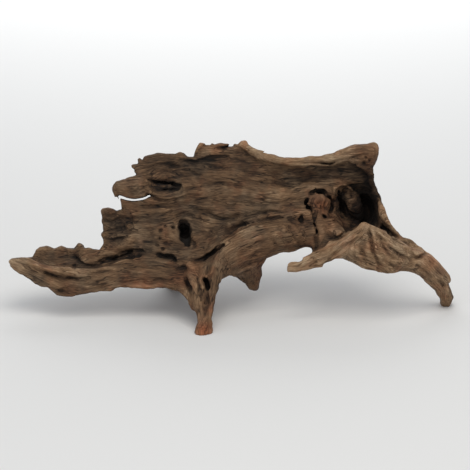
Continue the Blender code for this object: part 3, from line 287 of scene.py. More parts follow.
# Lines worked into the face: how far each reaches to the left and right of its way, then x, z and
# depth along it. A depth below zero stands out.
strokes = {
    "under the top lump": (3, 12, [
        (-128, 387, 0), (-115, 386, 5), (-88, 382, 9), (-65, 387, 8), (-38, 392, 8), (-11, 393, 6),
        (2, 387, 0)]),
    "below the lump": (3, 8, [
        (-74, 378, 0), (-54, 374, 4), (-29, 369, 5), (-14, 367, 4), (-2, 364, 0)]),
    "upper grain": (3.5, 9, [
        (-200, 358, 0), (-182, 367, 4), (-160, 374, 5), (-137, 375, 5), (-110, 369, 5),
        (-79, 356, 4), (-56, 346, 0)]),
    "upper grain, second": (3, 8, [
        (-182, 353, 0), (-155, 361, 3), (-124, 360, 4.5), (-92, 349, 4), (-61, 340, 0)]),
    "upper hollow": (8, 7, [(-155, 380, 0), (-135, 374, 6), (-115, 369, 0)]),
    "top crevice": (3.5, 4.5, [
        (-38, 412, 0), (-29, 415, 4.8), (-16, 417, 7.8), (0, 420, 5.4), (11, 423, 0)]),
    "lump side": (5, 9, [(-83, 392, 0), (-74, 405, 4), (-61, 416, 5), (-52, 425, 3)]),
    "peak fold": (3, 9, [(11, 418, 0), (27, 410, 5), (43, 398, 6), (65, 387, 5), (88, 380, 0)]),
    "under the bead": (4, 22, [
        (34, 382, 0), (56, 380, 2.4), (88, 377, 4.2), (119, 372, 5.4), (155, 368, 6),
        (182, 372, 5.4), (218, 371, 4.8), (256, 372, 3.6), (286, 375, 0)]),
    "dark band": (4, 9, [
        (16, 362, 0), (43, 358, 4.8), (70, 360, 4), (97, 356, 4.8), (128, 345, 6.4),
        (164, 348, 4.8), (200, 354, 3.2), (232, 359, 0)]),
    "band, lower": (3, 8, [(43, 338, 0), (83, 340, 3), (133, 331, 4), (169, 333, 0)]),
    "recess by the flap": (12, 11, [
        (-191, 335, 0), (-176, 328, 7), (-155, 325, 11), (-133, 324, 13), (-117, 322, 10),
        (-104, 317, 0)]),
    "recess, upper edge": (2.5, 6, [
        (-191, 343, 0), (-176, 339, 6), (-160, 338, 8), (-142, 340, 8), (-124, 335, 6),
        (-112, 324, 0)]),
    "recess, step": (3, 4, [(-182, 317, 0), (-164, 320, 5), (-142, 318, 6), (-124, 315, 0)]),
    "recess, lip": (3, 4, [(-182, 308, 0), (-160, 302, -3), (-122, 303, -3), (-97, 307, 0)]),
    "flap line": (3, 5, [(-187, 309, 5), (-176, 305, 6), (-164, 298, 5), (-146, 295, 0)]),
    "face groove": (3.5, 7, [
        (-94, 274, 0), (-86, 272, 4), (-72, 269, 6), (-56, 263, 8), (-36, 256, 9), (-11, 256, 8),
        (9, 261, 6), (27, 270, 0)]),
    "groove hook": (3, 3, [(-79, 256, 0), (-73, 250, 5), (-68, 244, 0)]),
    "above the knot": (5, 10, [
        (-130, 250, 0), (-122, 260, 4), (-106, 264, 6), (-92, 259, 4), (-81, 248, 0)]),
    "below the knot": (4, 4, [(-97, 212, 4), (-90, 202, 8), (-83, 194, 7), (-82, 182, 0)]),
    "dark slot": (3, 8, [
        (-173, 174, 0), (-165, 171, 6), (-158, 166, 9), (-144, 165, 11), (-133, 164, 11),
        (-125, 158, 9), (-126, 148, 0)]),
    "trough, upper edge": (2.5, 11, [
        (-308, 155, 0), (-290, 160, 4), (-261, 168, 7), (-234, 180, 9), (-212, 184, 9),
        (-200, 179, 6), (-198, 169, 0)]),
    "trough, crevice": (3, 4.5, [
        (-360, 184, 0), (-353, 169, 6), (-344, 161, 10), (-331, 156, 10), (-317, 153, 9),
        (-304, 149, 8), (-292, 152, 0)]),
    "arm upper rim": (9, 8, [
        (-313, 162, 0), (-299, 169, -4), (-277, 178, -6), (-254, 186, -6), (-233, 198, -5),
        (-210, 213, 0)]),
    "left wall": (4, 30, [
        (-250, 281, 0), (-230, 268, 2), (-225, 252, 3), (-228, 230, 3), (-234, 207, 2),
        (-254, 191, 0)]),
    "wall line one": (2.5, 6, [(-295, 248, 0), (-277, 246, 5), (-254, 249, 5), (-236, 246, 0)]),
    "wall line two": (2.5, 6, [(-297, 230, 0), (-272, 227, 5), (-250, 231, 5), (-232, 227, 0)]),
    "wall line three": (2.5, 6, [(-292, 207, 0), (-270, 206, 5), (-245, 210, 4), (-232, 209, 0)]),
    "wall line four": (2.5, 5, [(-290, 263, 0), (-268, 260, 4), (-248, 263, 0)]),
    "arm ridge": (5, 5, [
        (-493, 161, 0), (-470, 162, -3), (-449, 156, -4), (-429, 147, -4), (-408, 141, -4),
        (-384, 136, -4), (-362, 133, -3), (-333, 132, 0)]),
    "arm groove": (3.5, 9, [
        (-421, 137, 0), (-414, 134, 5), (-396, 126, 8), (-378, 123, 9), (-358, 119, 8),
        (-339, 115, 6), (-324, 118, 4), (-317, 128, 0)]),
    "arm ledge": (9, 3, [
        (-461, 165, 0), (-439, 156, 4), (-423, 150, 5), (-403, 148, 5), (-389, 143, 4),
        (-369, 137, 0)]),
    "arm basin": (16, 14, [
        (-475, 171, 0), (-443, 169, 5), (-407, 164, 8), (-376, 166, 11), (-349, 166, 10),
        (-326, 162, 0)]),
    "beam line": (3, 7, [
        (-326, 126, 0), (-308, 132, 3), (-268, 135, 4), (-234, 134, 4), (-212, 130, 3),
        (-182, 124, 0)]),
    "arm lower line": (3, 6, [
        (-396, 94, 0), (-389, 97, 4), (-369, 101, 5), (-346, 99, 5), (-324, 94, 4), (-295, 97, 4),
        (-263, 99, 0)]),
    "red patch": (3, 10, [
        (-259, 106, 0), (-236, 112, 5), (-207, 114, 5), (-182, 111, 4), (-160, 115, 5),
        (-133, 108, 0)]),
    "arm face line": (3, 6, [(-389, 115, 0), (-358, 108, 3), (-317, 108, 3), (-286, 115, 0)]),
    "over the fold": (14, 3, [
        (-18, 205, 0), (2, 216, 3.2), (20, 226, 5.2), (47, 236, 5.9), (76, 242, 4.5),
        (124, 246, 3.9), (166, 241, 2.6), (184, 232, 0)]),
    "arch pocket": (13, 12, [
        (-24, 220, 0), (-10, 227, 7), (8, 233, 9), (26, 239, 7), (42, 244, 0)]),
    "crevice over the leg": (4, 7, [
        (-92, 151, 0), (-79, 156, 6), (-61, 164, 10), (-40, 179, 14), (-25, 189, 12),
        (-11, 199, 0)]),
    "web strand": (3.5, 3.5, [
        (-65, 124, 0), (-54, 127, -4), (-43, 133, -5), (-36, 149, -5), (-29, 171, 0)]),
    "leg shoulder": (3, 9, [(-133, 140, 0), (-115, 141, 3), (-97, 140, 4), (-83, 133, 0)]),
    "leg hollow": (7, 7, [
        (-106, 122, 0), (-98, 114, 5), (-92, 101, 6), (-88, 86, 4), (-86, 72, 0)]),
    "leg column line": (3, 3.5, [(-74, 130, 0), (-70, 108, 5), (-63, 81, 5), (-61, 54, 0)]),
    "arch line one": (4, 4, [
        (106, 250, 0), (110, 230, 2.5), (117, 212, 3), (130, 194, 2), (146, 182, 0)]),
    "arch line two": (4, 4, [(128, 248, 0), (137, 227, 2.5), (148, 207, 2.5), (164, 191, 0)]),
    "arch line three": (4, 4, [(86, 245, 0), (90, 220, 1.8), (99, 200, 1.8), (112, 187, 0)]),
    "arch seam": (3, 4, [
        (187, 225, 0), (188, 214, 7), (190, 200, 7), (192, 187, 6), (187, 176, 0)]),
    "arch grain one": (4, 7, [
        (2, 155, 0), (20, 176, 3), (47, 191, 4), (74, 207, 4), (101, 216, 0)]),
    "arch grain two": (4, 7, [(20, 140, 0), (38, 158, 3), (61, 176, 4), (92, 191, 0)]),
    "limb crest": (4, 7, [
        (194, 158, 0), (212, 170, -4), (228, 184, -6), (254, 209, -6), (273, 227, -5),
        (290, 237, -4), (306, 245, 0)]),
    "over the crest": (7, 3, [
        (218, 194, 0), (240, 216, 6), (259, 232, 8), (274, 240, 6), (288, 248, 0)]),
    "crest line": (4, 4, [
        (200, 155, 0), (217, 163, 2.8), (245, 190, 3.5), (273, 209, 3.5), (295, 218, 2.1),
        (308, 223, 0)]),
    "limb fold one": (3, 4, [
        (304, 238, 0), (308, 222, 7), (310, 201, 9), (315, 179, 8), (326, 162, 6), (340, 151, 0)]),
    "limb fold lip": (2.5, 3, [
        (314, 232, 0), (318, 214, -4), (319, 196, -4), (326, 176, -3), (338, 164, 0)]),
    "limb fold two": (3, 4, [
        (322, 232, 0), (330, 213, 5), (338, 192, 7), (350, 178, 5), (367, 166, 0)]),
    "limb fold five": (2.5, 3, [
        (284, 200, 0), (290, 190, 5), (296, 176, 6), (306, 160, 4), (316, 150, 0)]),
    "limb fold three": (4, 4, [
        (292, 223, 0), (295, 202, 2.5), (292, 180, 3), (299, 162, 2.5), (315, 146, 0)]),
    "limb fold four": (4, 4, [(270, 207, 0), (274, 187, 2.4), (279, 169, 2.4), (295, 151, 0)]),
    "limb flow one": (3, 6, [
        (320, 236, 0), (340, 207, 5), (358, 189, 6), (378, 178, 6), (403, 166, 4), (423, 158, 0)]),
    "limb flow two": (3, 5, [
        (326, 180, 0), (348, 158, 4), (368, 150, 5), (395, 145, 4), (418, 137, 0)]),
    "limb ledge": (4, 5, [
        (382, 194, 0), (403, 178, 5), (415, 171, 9), (432, 171, 7), (448, 176, 0)]),
    "limb flow three": (3, 6, [(389, 158, 0), (416, 148, 3), (443, 130, 4), (464, 110, 0)]),
    "tip mark": (5, 5, [(461, 119, 0), (470, 108, 7), (479, 94, 0)]),
    "stump grain": (3, 3, [(128, 147, 0), (155, 146, 3), (182, 152, 3), (202, 162, 0)]),
    "horn line": (3, 6, [(256, 405, 0), (277, 410, 4), (299, 412, 5), (320, 416, 0)]),
    "horn curl": (3, 4, [
        (256, 379, 0), (271, 391, 4), (291, 399, 5), (311, 403, 3), (325, 409, 0)]),
    "under the horn": (3, 4, [
        (262, 371, 0), (280, 378, 4), (300, 377, 5), (317, 375, 3), (325, 371, 0)]),
    "bead split": (2.5, 3, [
        (104, 383, 0), (150, 382, 3), (190, 382, 4.5), (230, 385, 4), (262, 389, 0)]),
    "bead lip": (2.5, 3, [(146, 376, 0), (180, 376, -3), (215, 378, -3), (250, 380, 0)]),
    "horn fold": (4, 8, [(272, 364, 0), (290, 360, 4), (308, 351, 5), (324, 333, 0)]),
    "face line one": (3, 7, [
        (-79, 328, 0), (-38, 333, 4), (7, 328, 5), (56, 324, 4), (110, 315, 0)]),
    "face line two": (3, 7, [
        (-70, 295, 0), (-34, 290, 4), (2, 286, 4), (43, 292, 4), (83, 286, 3), (124, 290, 0)]),
    "face line three": (3, 6, [(43, 268, 0), (74, 272, 4), (110, 268, 5), (146, 272, 0)]),
    "face line four": (3, 6, [(-223, 284, 0), (-191, 277, 4), (-160, 281, 4), (-124, 277, 0)]),
    "face line five": (3, 6, [(-214, 241, 0), (-191, 234, 3), (-171, 238, 3), (-151, 232, 0)]),
    "rot crack": (2.5, 2.5, [
        (188, 302, 0), (185, 286, 6), (185, 264, 6), (189, 244, 5), (192, 214, 4), (200, 186, 0)]),
    "rot fibre one": (2.5, 2.5, [(197, 300, 0), (195, 284, 4), (196, 262, 0)]),
    "rot fibre two": (2.5, 2.5, [(208, 304, 0), (206, 286, 4), (208, 266, 4), (214, 252, 0)]),
    "rot fibre three": (2.5, 2.5, [(217, 298, 0), (216, 282, 4), (218, 264, 0)]),
    "hump rim": (2.5, 3, [
        (203, 246, 0), (216, 254, -4), (232, 256, -5), (250, 248, -4), (260, 234, 0)]),
    "under the hump": (3, 4, [
        (207, 226, 0), (220, 217, 4), (236, 214, 5), (252, 222, 4), (262, 232, 0)]),
    "rim arc": (3.5, 3.5, [
        (234, 288, 0), (233, 308, -5), (236, 324, -7), (248, 334, -7), (261, 333, -6),
        (274, 322, -4), (286, 308, 0)]),
}

# Small pits and lumps of the face: x, z, radius and depth.
pits = [
    (-155, 230, 4, 6), (-148, 235, 3.5, 5), (-132, 234, 4, 6), (-146, 201, 3.5, 6),
    (-137, 200, 3, 5), (-155, 184, 3.5, 5), (-160, 214, 3.5, 5), (-142, 218, 4, 5),
    (-126, 245, 3.5, 4), (-166, 196, 3.5, 4), (296, 382, 3.5, 8), (-354, 147, 6, 8),
    (212, 261, 4, 7), (313, 344, 4, -3), (310, 378, 6, -4), (225, 236, 17, -7), (241, 234, 14, -6),
    (205, 288, 17, -4), (173, 261, 8, -5), (159, 252, 5, 4), (450, 158, 9, 3), (-50, 110, 8, 8),
    (-216, 172, 9, -5), (301, 394, 3.5, 5), (309, 390, 3.5, 5), (184, 280, 4, 5), (200, 286, 4, 5),
    (272, 309, 4, 7),
]

# More paths that the grain follows: x, y, z and radius. Then the knots that it bends round: x, z
# and radius.
legToArch = [
    (-52, 8, 27, 22), (-40, 38, 90, 22), (-27, 72, 162, 26), (14, 80, 195, 40), (83, 100, 215, 40),
    (160, 112, 225, 34),
]
legToArm = [
    (-61, 0, 2, 26), (-72, 35, 72, 24), (-84, 60, 112, 24), (-133, 76, 122, 30),
    (-227, 80, 128, 34), (-340, 78, 112, 32), (-441, 86, 140, 26), (-493, 92, 160, 22),
]
knots = [((-106, 227), 26), ((303, 268), 46), ((205, 296), 26), ((15, 229), 20), ((-152, 331), 24)]

# What joins the slab before and after the deep hollow is cut, with the reach of each blend.
bodyBars = [
    (backTrunk, 40.0), (backLimb, 30.0), (backRoot, 30.0), (armBeam, 18.0), (archFold, 20.0),
    (shard, 14.0), (limb, 16.0), (legCore, 16.0), (topBead, 18.0), (horn, 18.0),
    *((ridge, 18.0) for ridge in backRidges), (armRidge, 12.0), (archCrest, 12.0),
    (cavityBacking, 24.0),
]
laterBars = [
    (cavityWall, 8.0), (cavityRearWall, 8.0), (cavityFloor, 8.0), (strandWeb, 8.0), (legLeft, 9.0),
    (legRight, 9.0), (legWeb, 9.0), (limbLip, 12.0), (limbFold, 12.0), (limbKeel, 12.0),
    (shoulderStrand, 12.0), (cavityHump, 9.0),
]
# Centre, radii and reach of the two ellipsoids that make the deep hollow.
cavityCuts = [((284, 110, 278), (56, 78, 52), 26.0), ((303, 158, 271), (23, 56, 32), 18.0)]


def smoothMin(a, b, reach):
    # the lesser of the two, less up to a quarter of the reach where they are close
    h = np.clip(0.5 + 0.5 * (b - a) / reach, 0.0, 1.0)
    return b + (a - b) * h - reach * h * (1.0 - h)


def smoothMax(a, b, reach):
    return -smoothMin(-a, -b, reach)


def smoothStep(t):
    # 3 t^2 - 2 t^3 between 0 and 1
    t = np.clip(t, 0.0, 1.0)
    return t * t * (3.0 - 2.0 * t)


def rounded(stations, parts=4):
    # Catmull-Rom curve: each stretch is a cubic whose end slopes are half the step over two points
    s = np.array(stations, float)
    s = np.vstack([2 * s[0] - s[1], s, 2 * s[-1] - s[-2]])
    t = (np.arange(parts) / parts)[:, None]
    curve = []
    for a, b, c, d in zip(s, s[1:], s[2:], s[3:]):
        square, cube = 2 * a - 5 * b + 4 * c - d, 3 * b - a - 3 * c + d
        curve.append(0.5 * (2 * b + (c - a) * t + square * t**2 + cube * t**3))
    return np.vstack(curve + [s[-2:-1]])


def outlineDistance(outline, x, z):
    # nearest distance to any edge, negative where a ray crosses the outline an odd number of times
    x, z = x[:, None], z[None, :]
    best = np.full((x.size, z.size), 1e12)
    inside = np.zeros(best.shape, bool)
    for (x0, z0), (x1, z1) in zip(outline, outline[1:] + outline[:1]):
        dx, dz = x1 - x0, z1 - z0
        t = np.clip(((x - x0) * dx + (z - z0) * dz) / (dx * dx + dz * dz), 0.0, 1.0)
        best = np.minimum(best, (x - x0 - t * dx) ** 2 + (z - z0 - t * dz) ** 2)
        if dz:
            inside ^= ((z0 > z) != (z1 > z)) & (x < x0 + (z - z0) * dx / dz)
    return np.where(inside, -1.0, 1.0) * np.sqrt(best)


class Lattice:
    # sample points of the face frame, with a signed distance at each, negative in the wood
    def __init__(self, settings):
        self.cell = settings["cell"]
        self.low = np.array(settings["lowCorner"])
        self.axes = [
            np.arange(a, b, self.cell).astype(np.float32)
            for a, b in zip(settings["lowCorner"], settings["highCorner"])
        ]
        self.rim = outlineDistance(silhouette, self.axes[0], self.axes[2]).astype(np.float32)
        region = outlineDistance(slabRegion, self.axes[0], self.axes[2]).astype(np.float32)
        self.edge = np.maximum(self.rim, region)
        self.field = None
        self.uncut = None  # the distance before the hollows were cut

    def valueAt(self, values, points, coarse=1):
        # the lattice's eight values round each point, mixed by nearness
        place = (points - self.low) / (self.cell * coarse)
        base = np.clip(np.floor(place).astype(int), 0, np.array(values.shape) - 2)
        f = np.clip(place - base, 0.0, 1.0)
        total = np.zeros(len(points))
        for corner in np.ndindex(2, 2, 2):
            i, j, k = (base + corner).T
            total += values[i, j, k] * np.prod(np.where(corner, f, 1.0 - f), axis=1)
        return total

    def sunk(self, points):
        # depth in mm under the skin that stood before the hollows
        return np.maximum(-self.valueAt(self.uncut, points), 0.0)

    def near(self, points, reach):
        cuts = []
        for axis, low, high in zip(self.axes, points.min(0) - reach, points.max(0) + reach):
            first, last = np.searchsorted(axis, (low, high))
            cuts.append(slice(max(first - 1, 0), max(last + 1, 2)))
        return tuple(cuts), np.ix_(*(axis[cut] for axis, cut in zip(self.axes, cuts)))


def sweptDistance(path, coordinates):
    # distance to the nearest point of the path less the radius there
    best = None
    for a, b in zip(path.astype(np.float32), path[1:].astype(np.float32)):
        run = b[:-1] - a[:-1]
        length = max(float(run @ run), 1e-6)
        t = sum((q - p) * r for q, p, r in zip(coordinates, a, run)) / np.float32(length)
        t = np.clip(t, 0.0, 1.0)
        gap = np.sqrt(sum((q - p - t * r) ** 2 for q, p, r in zip(coordinates, a, run)))
        gap = gap - (a[-1] + t * (b[-1] - a[-1]))
        best = gap if best is None else np.minimum(best, gap)
    return best


def nearPath(lattice, path, reach):
    # the part of the lattice that a bar along the path can change, with room for its blend
    return lattice.near(path[:, :3], path[:, 3].max() + 2.2 * reach + 10.0)


def addBar(lattice, stations, reach):
    path = rounded(stations)
    cuts, coordinates = nearPath(lattice, path, reach)
    lattice.field[cuts] = smoothMin(lattice.field[cuts], sweptDistance(path, coordinates), reach)


def wornBy(coordinates, width, rise, seed):
    # how far the surface of a cut is pushed in or out
    points = np.stack(np.broadcast_arrays(*coordinates), -1)
    return rise * valueNoise(points.reshape(-1, 3) / width, seed).reshape(points.shape[:3])


def cutBar(lattice, stations, reach, wear):
    path = rounded(stations)
    cuts, coordinates = nearPath(lattice, path, reach)
    width, rise = wear
    gap = sweptDistance(path, coordinates)
    gap = gap + wornBy(coordinates, width, rise * path[:, 3].max(), noiseSeeds["hollows"])
    lattice.field[cuts] = smoothMax(lattice.field[cuts], -gap, reach)


def cutEllipsoid(lattice, centre, radii, reach, wear):
    # distance in radii from the centre, less 1, times the least radius
    centre, radii = np.array(centre, np.float32), np.array(radii, np.float32)
    box = np.array([centre - radii, centre + radii])
    cuts, coordinates = lattice.near(box, 2 * reach + 10.0)
    scaled = np.sqrt(sum(((q - c) / r) ** 2 for q, c, r in zip(coordinates, centre, radii)))
    gap = (scaled - 1.0) * radii.min() + wornBy(coordinates, *wear, noiseSeeds["cavity"])
    lattice.field[cuts] = smoothMax(lattice.field[cuts], -gap, reach)


def faceDepthFunction(posts, softness=26.0, slack=6.0):
    # depth = mean + sum of weight * sqrt(distance to a post squared + softness squared),
    # with weights that may miss a post's depth a little, by the slack
    posts = np.array(posts, float)
    at = posts[:, [0, 2]]
    mean = posts[:, 1].mean()

    def kernel(p, q):
        return np.sqrt(((p[..., None, :] - q) ** 2).sum(-1) + softness**2)

    weights = np.linalg.solve(kernel(at, at) - slack * np.eye(len(at)), posts[:, 1] - mean)
    return lambda x, z: mean + kernel(np.stack(np.broadcast_arrays(x, z), -1), at) @ weights


def onSkin(lattice, stations, side=1):
    # each depth is counted from the skin met first from the front, or from the back for side -1
    placed = []
    for x, sunk, z, radius in stations:
        i = int(round((x - lattice.axes[0][0]) / lattice.cell))
        k = int(round((z - lattice.axes[2][0]) / lattice.cell))
        column = lattice.field[i, ::side, k]
        first = int(np.argmax(column < 0.0))
        share = column[first - 1] / (column[first - 1] - column[first])
        skinDepth = lattice.axes[1][::side][first - 1] + side * share * lattice.cell
        placed.append((x, float(skinDepth) + side * sunk, z, radius))
    return placed


def addSlab(lattice, depth, settings):
    # between the face and a back that stands further off the further inside the outline it is
    x, y, z = lattice.axes
    front = depth(x[:, None], z[None, :])
    growth = smoothStep(-lattice.edge / settings["growthDepth"])
    swell = settings["backDepth"] + settings["wallAtEdge"] + settings["wallGrowth"] * growth
    bodyBack = smoothMax(front + settings["leastWall"], swell, settings["backRounding"])
    arm = smoothStep((settings["armStart"] - x[:, None]) / settings["armRun"])
    back = bodyBack + (front + settings["armWall"] - bodyBack) * arm
    front, back = front.astype(np.float32), back.astype(np.float32)
    y = y[None, :, None]
    between = smoothMax(front[:, None, :] - y, y - back[:, None, :], settings["slabRounding"])
    lattice.field = smoothMax(between, lattice.edge[:, None, :], settings["edgeRounding"])


def cutSlit(lattice, stations, rounding=3.0):
    # a slit right through the slab, half as wide as each station says
    path = rounded([(x, 0.0, z, half) for x, z, half in stations])
    cuts, (x, _, z) = lattice.near(path[:, :3], 14.0)
    cuts = (cuts[0], slice(None), cuts[2])
    path[:, 1] = 0.0
    flat = sweptDistance(path, (x, np.zeros((1, 1, 1), np.float32), z))
    lattice.field[cuts] = smoothMax(lattice.field[cuts], -flat, rounding)


def valueNoise(p, seed):
    # a random value from -1 to 1 at each whole coordinate, blended between them by a smooth cubic
    cell = np.floor(p).astype(np.int64)
    f = (p - cell).astype(np.float32)
    f = f * f * (3.0 - 2.0 * f)
    total = np.zeros(len(p), np.float32)
    for corner in np.ndindex(2, 2, 2):
        n = cell + corner
        h = (n[:, 0] * 73856093) ^ (n[:, 1] * 19349663) ^ (n[:, 2] * 83492791)  # large primes
        h = h ^ (seed * 2654435761)
        h = ((h ^ (h >> 13)) * 1274126177) & 0xFFFFFFFF
        h = h ^ (h >> 16)
        weight = np.prod(np.where(corner, f, 1.0 - f), axis=1)
        total += weight * (h / 2147483648.0 - 1.0).astype(np.float32)
    return total


def alongPath(points, stations, settings):
    # distance along the path, offset square to it, nearness from 0 to 1, and share of full relief
    path = rounded(stations, 3)
    reach = 2.0 * path[:, 3].max()
    low, high = path[:, :3].min(0) - reach, path[:, :3].max(0) + reach
    close = np.all((points > low) & (points < high), axis=1)
    allGrain = np.zeros((len(points), 3), np.float32)
    allWeight = np.zeros(len(points), np.float32)
    allRelief = np.ones(len(points), np.float32)
    points = points[close]
    best = np.full(len(points), 1e9, np.float32)
    grain = np.zeros((len(points), 3), np.float32)
    thick = np.ones(len(points), np.float32)
    start = 0.0
    for a, b in zip(path, path[1:]):
        run = b[:3] - a[:3]
        length = np.linalg.norm(run)
        side = np.cross(run, (0.0, 1.0, 0.0))
        side = (side / np.linalg.norm(side)).astype(np.float32)
        origin, run = a[:3].astype(np.float32), run.astype(np.float32)
        t = np.clip((points - origin) @ run / np.float32(length**2), 0.0, 1.0)
        away = points - origin - t[:, None] * run
        radius = np.float32(a[3]) + t * np.float32(b[3] - a[3])
        gap = np.linalg.norm(away, axis=1) / radius
        along = (start + t * length) / settings["grainStretch"]
        here = np.stack([along, away @ side, away[:, 1]], 1)
        nearer = gap < best
        best[nearer] = gap[nearer]
        grain[nearer] = here[nearer]
        thick[nearer] = radius[nearer]
        start += length
    allGrain[close] = grain
    allWeight[close] = smoothStep((2.0 - best) / 0.8)  # full within 1.2 radii, none past 2
    share = (thick / settings["fullReliefRadius"]) ** 2
    allRelief[close] = np.clip(share, settings["leastRelief"], 1.0)
    return allGrain, allWeight, allRelief


def grainFields(points, inset, settings):
    # for each path that the grain follows, then for the slab: grain coordinates, weight and relief
    x, y, z = points.T
    bent = z.copy()
    for seed, (width, sway) in enumerate(settings["grainSway"]):
        drawn = points / (2.0 * width, width, width)
        bent += sway * valueNoise(drawn, noiseSeeds["grainSway"] + seed)
    # each knot draws the lines round it apart: height above it, times r^2 / (distance^2 + r^2)
    for (kx, kz), radius in knots:
        square = (x - kx) ** 2 + (z - kz) ** 2
        bent -= (z - kz) * radius**2 / (square + radius**2)
    fields = []
    left = np.ones(len(points), np.float32)
    for stations in (limbLip, limb, legToArch, legToArm, shard, backRoot):
        grain, weight, relief = alongPath(points, stations, settings)
        fields.append((grain, weight * left, relief))
        left = left * (1.0 - weight)
    edge = settings["edgeRelief"]
    relief = edge + (1.0 - edge) * smoothStep(inset / settings["fullReliefInset"])
    fields.append((np.stack([x / settings["grainStretch"], y, bent], 1), left, relief))
    return fields


def furrowHeight(points, inset, kind, settings):
    # rise * (2 * size of the noise - 0.5), drawn out along the grain: round ridges, sharp furrows
    height = np.zeros(len(points), np.float32)
    for grain, weight, relief in grainFields(points, inset, settings):
        here = weight > 0.0
        for seed, (width, rise) in enumerate(settings[kind]):
            folded = 2.0 * np.abs(valueNoise(grain[here] / width, noiseSeeds[kind] + seed)) - 0.5
            height[here] += (weight * relief)[here] * rise * folded
    return height


def insetAt(lattice, points):
    # how far inside the outline each point lies
    places = []
    for axis in (0, 2):
        place = np.rint((points[:, axis] - lattice.low[axis]) / lattice.cell).astype(int)
        places.append(np.clip(place, 0, len(lattice.axes[axis]) - 1))
    return -lattice.edge[places[0], places[1]]


def furrow(lattice, settings):
    # only samples close enough to the skin are moved
    most = 1.2 * sum(rise for _, rise in settings["furrows"])
    near = np.nonzero(np.abs(lattice.field) < most)
    points = np.stack([axis[i] for axis, i in zip(lattice.axes, near)], 1)
    inset = -lattice.edge[near[0], near[2]]
    lattice.field[near] -= furrowHeight(points, inset, "furrows", settings)


def strokeOver(x, z, stations, left, right):
    # the line's depth at its nearest point times exp(-(gap / width)^2), with a width for each side
    best = np.full(x.shape, 1e12)
    value = np.zeros(x.shape)
    path = rounded(stations)
    for (ax, az, a), (bx, bz, b) in zip(path, path[1:]):
        dx, dz = bx - ax, bz - az
        t = np.clip(((x - ax) * dx + (z - az) * dz) / max(dx * dx + dz * dz, 1e-6), 0.0, 1.0)
        gap = (x - ax - t * dx) ** 2 + (z - az - t * dz) ** 2
        width = np.where(dx * (z - az) - dz * (x - ax) > 0.0, left, right)
        nearer = gap < best
        best[nearer] = gap[nearer]
        value[nearer] = ((a + t * (b - a)) * np.exp(-gap / width**2))[nearer]
    return value


def faceRelief(lattice, settings):
    # depth of every line and pit over the x, z plane, on coordinates that wander a little;
    # a pit's is depth * exp(-(distance / radius)^3)
    x, z = np.meshgrid(lattice.axes[0], lattice.axes[2], indexing="ij")
    points = np.stack([x.ravel(), np.zeros(x.size), z.ravel()], 1)
    sways = []
    for turn in range(2):
        sway = sum(rise * valueNoise(points / width, noiseSeeds["lineWander"] + 2 * seed + turn)
                   for seed, (width, rise) in enumerate(settings["lineWander"]))
        sways.append(sway.reshape(x.shape))
    relief = np.zeros(x.shape)

    def near(px, pz, reach):
        i = np.searchsorted(lattice.axes[0], (min(px) - reach, max(px) + reach))
        k = np.searchsorted(lattice.axes[2], (min(pz) - reach, max(pz) + reach))
        cut = (slice(*i), slice(*k))
        return cut, x[cut] + sways[0][cut], z[cut] + sways[1][cut]

    for left, right, stations in strokes.values():
        px, pz, _ = zip(*stations)
        cut, u, v = near(px, pz, 2.5 * max(left, right) + 10.0)  # further off it adds nothing
        relief[cut] += strokeOver(u, v, stations, left, right)
    for px, pz, radius, depth in pits:
        cut, u, v = near((px,), (pz,), 2.0 * radius + 10.0)
        relief[cut] += depth * np.exp(-(((u - px) ** 2 + (v - pz) ** 2) / radius**2) ** 1.5)
    return relief.astype(np.float32)


def workFace(lattice, settings):
    # the skin met first from the front moves back by the relief, less so the further behind it
    first = np.argmax(lattice.field < 0.0, axis=1)
    skinDepth = lattice.axes[1][first]
    relief = faceRelief(lattice, settings)
    worked = np.nonzero(np.abs(relief) > settings["leastLine"])
    behind = (lattice.axes[1][None, :] - skinDepth[worked][:, None]) / settings["lineReach"]
    moved = relief[worked][:, None] * smoothStep(1.4 - behind)  # full to 0.4 reaches, none at 1.4
    lattice.field[worked[0], :, worked[1]] += moved.astype(np.float32)


def trimRim(lattice, settings):
    # wood outside the outline goes, and the edge that is left is torn a little
    rim = np.broadcast_to(lattice.rim[:, None, :], lattice.field.shape).copy()
    reach = settings["rimReach"]
    near = np.nonzero((np.abs(rim) < reach) & (lattice.field < reach))
    points = np.stack([axis[i] for axis, i in zip(lattice.axes, near)], 1)
    for seed, (width, rise) in enumerate(settings["rimWear"]):
        drawn = points / (width, 2.5 * width, width)  # longer through the wood than along the rim
        rim[near] += rise * valueNoise(drawn, noiseSeeds["rimWear"] + seed)
    lattice.field = smoothMax(lattice.field, rim, settings["rimRounding"])


def growRoot(settings):
    lattice = Lattice(settings)
    addSlab(lattice, faceDepthFunction(faceDepths), settings)
    for stations, reach in bodyBars:
        addBar(lattice, stations, reach)
    for centre, radii, reach in cavityCuts:
        cutEllipsoid(lattice, centre, radii, reach, settings["cavityWear"])
    for stations, reach in laterBars:
        addBar(lattice, stations, reach)
    print("forms joined")
    furrow(lattice, settings)
    print("furrows raised")
    lattice.uncut = lattice.field.copy()
    workFace(lattice, settings)
    trimRim(lattice, settings)
    print("lines worked into the face")
    placed = [onSkin(lattice, stations) for stations in hollows.values()]
    placed += [onSkin(lattice, stations, -1) for stations in backHollows]
    for stations in placed:
        cutBar(lattice, stations, settings["hollowRounding"], settings["hollowWear"])
    cutSlit(lattice, flapSlit)
    _, y, z = np.ix_(*lattice.axes)
    belowFloor = y * math.sin(settings["lean"]) - z * math.cos(settings["lean"])
    lattice.field = np.maximum(lattice.field, belowFloor)
    print("hollows cut")
    return lattice


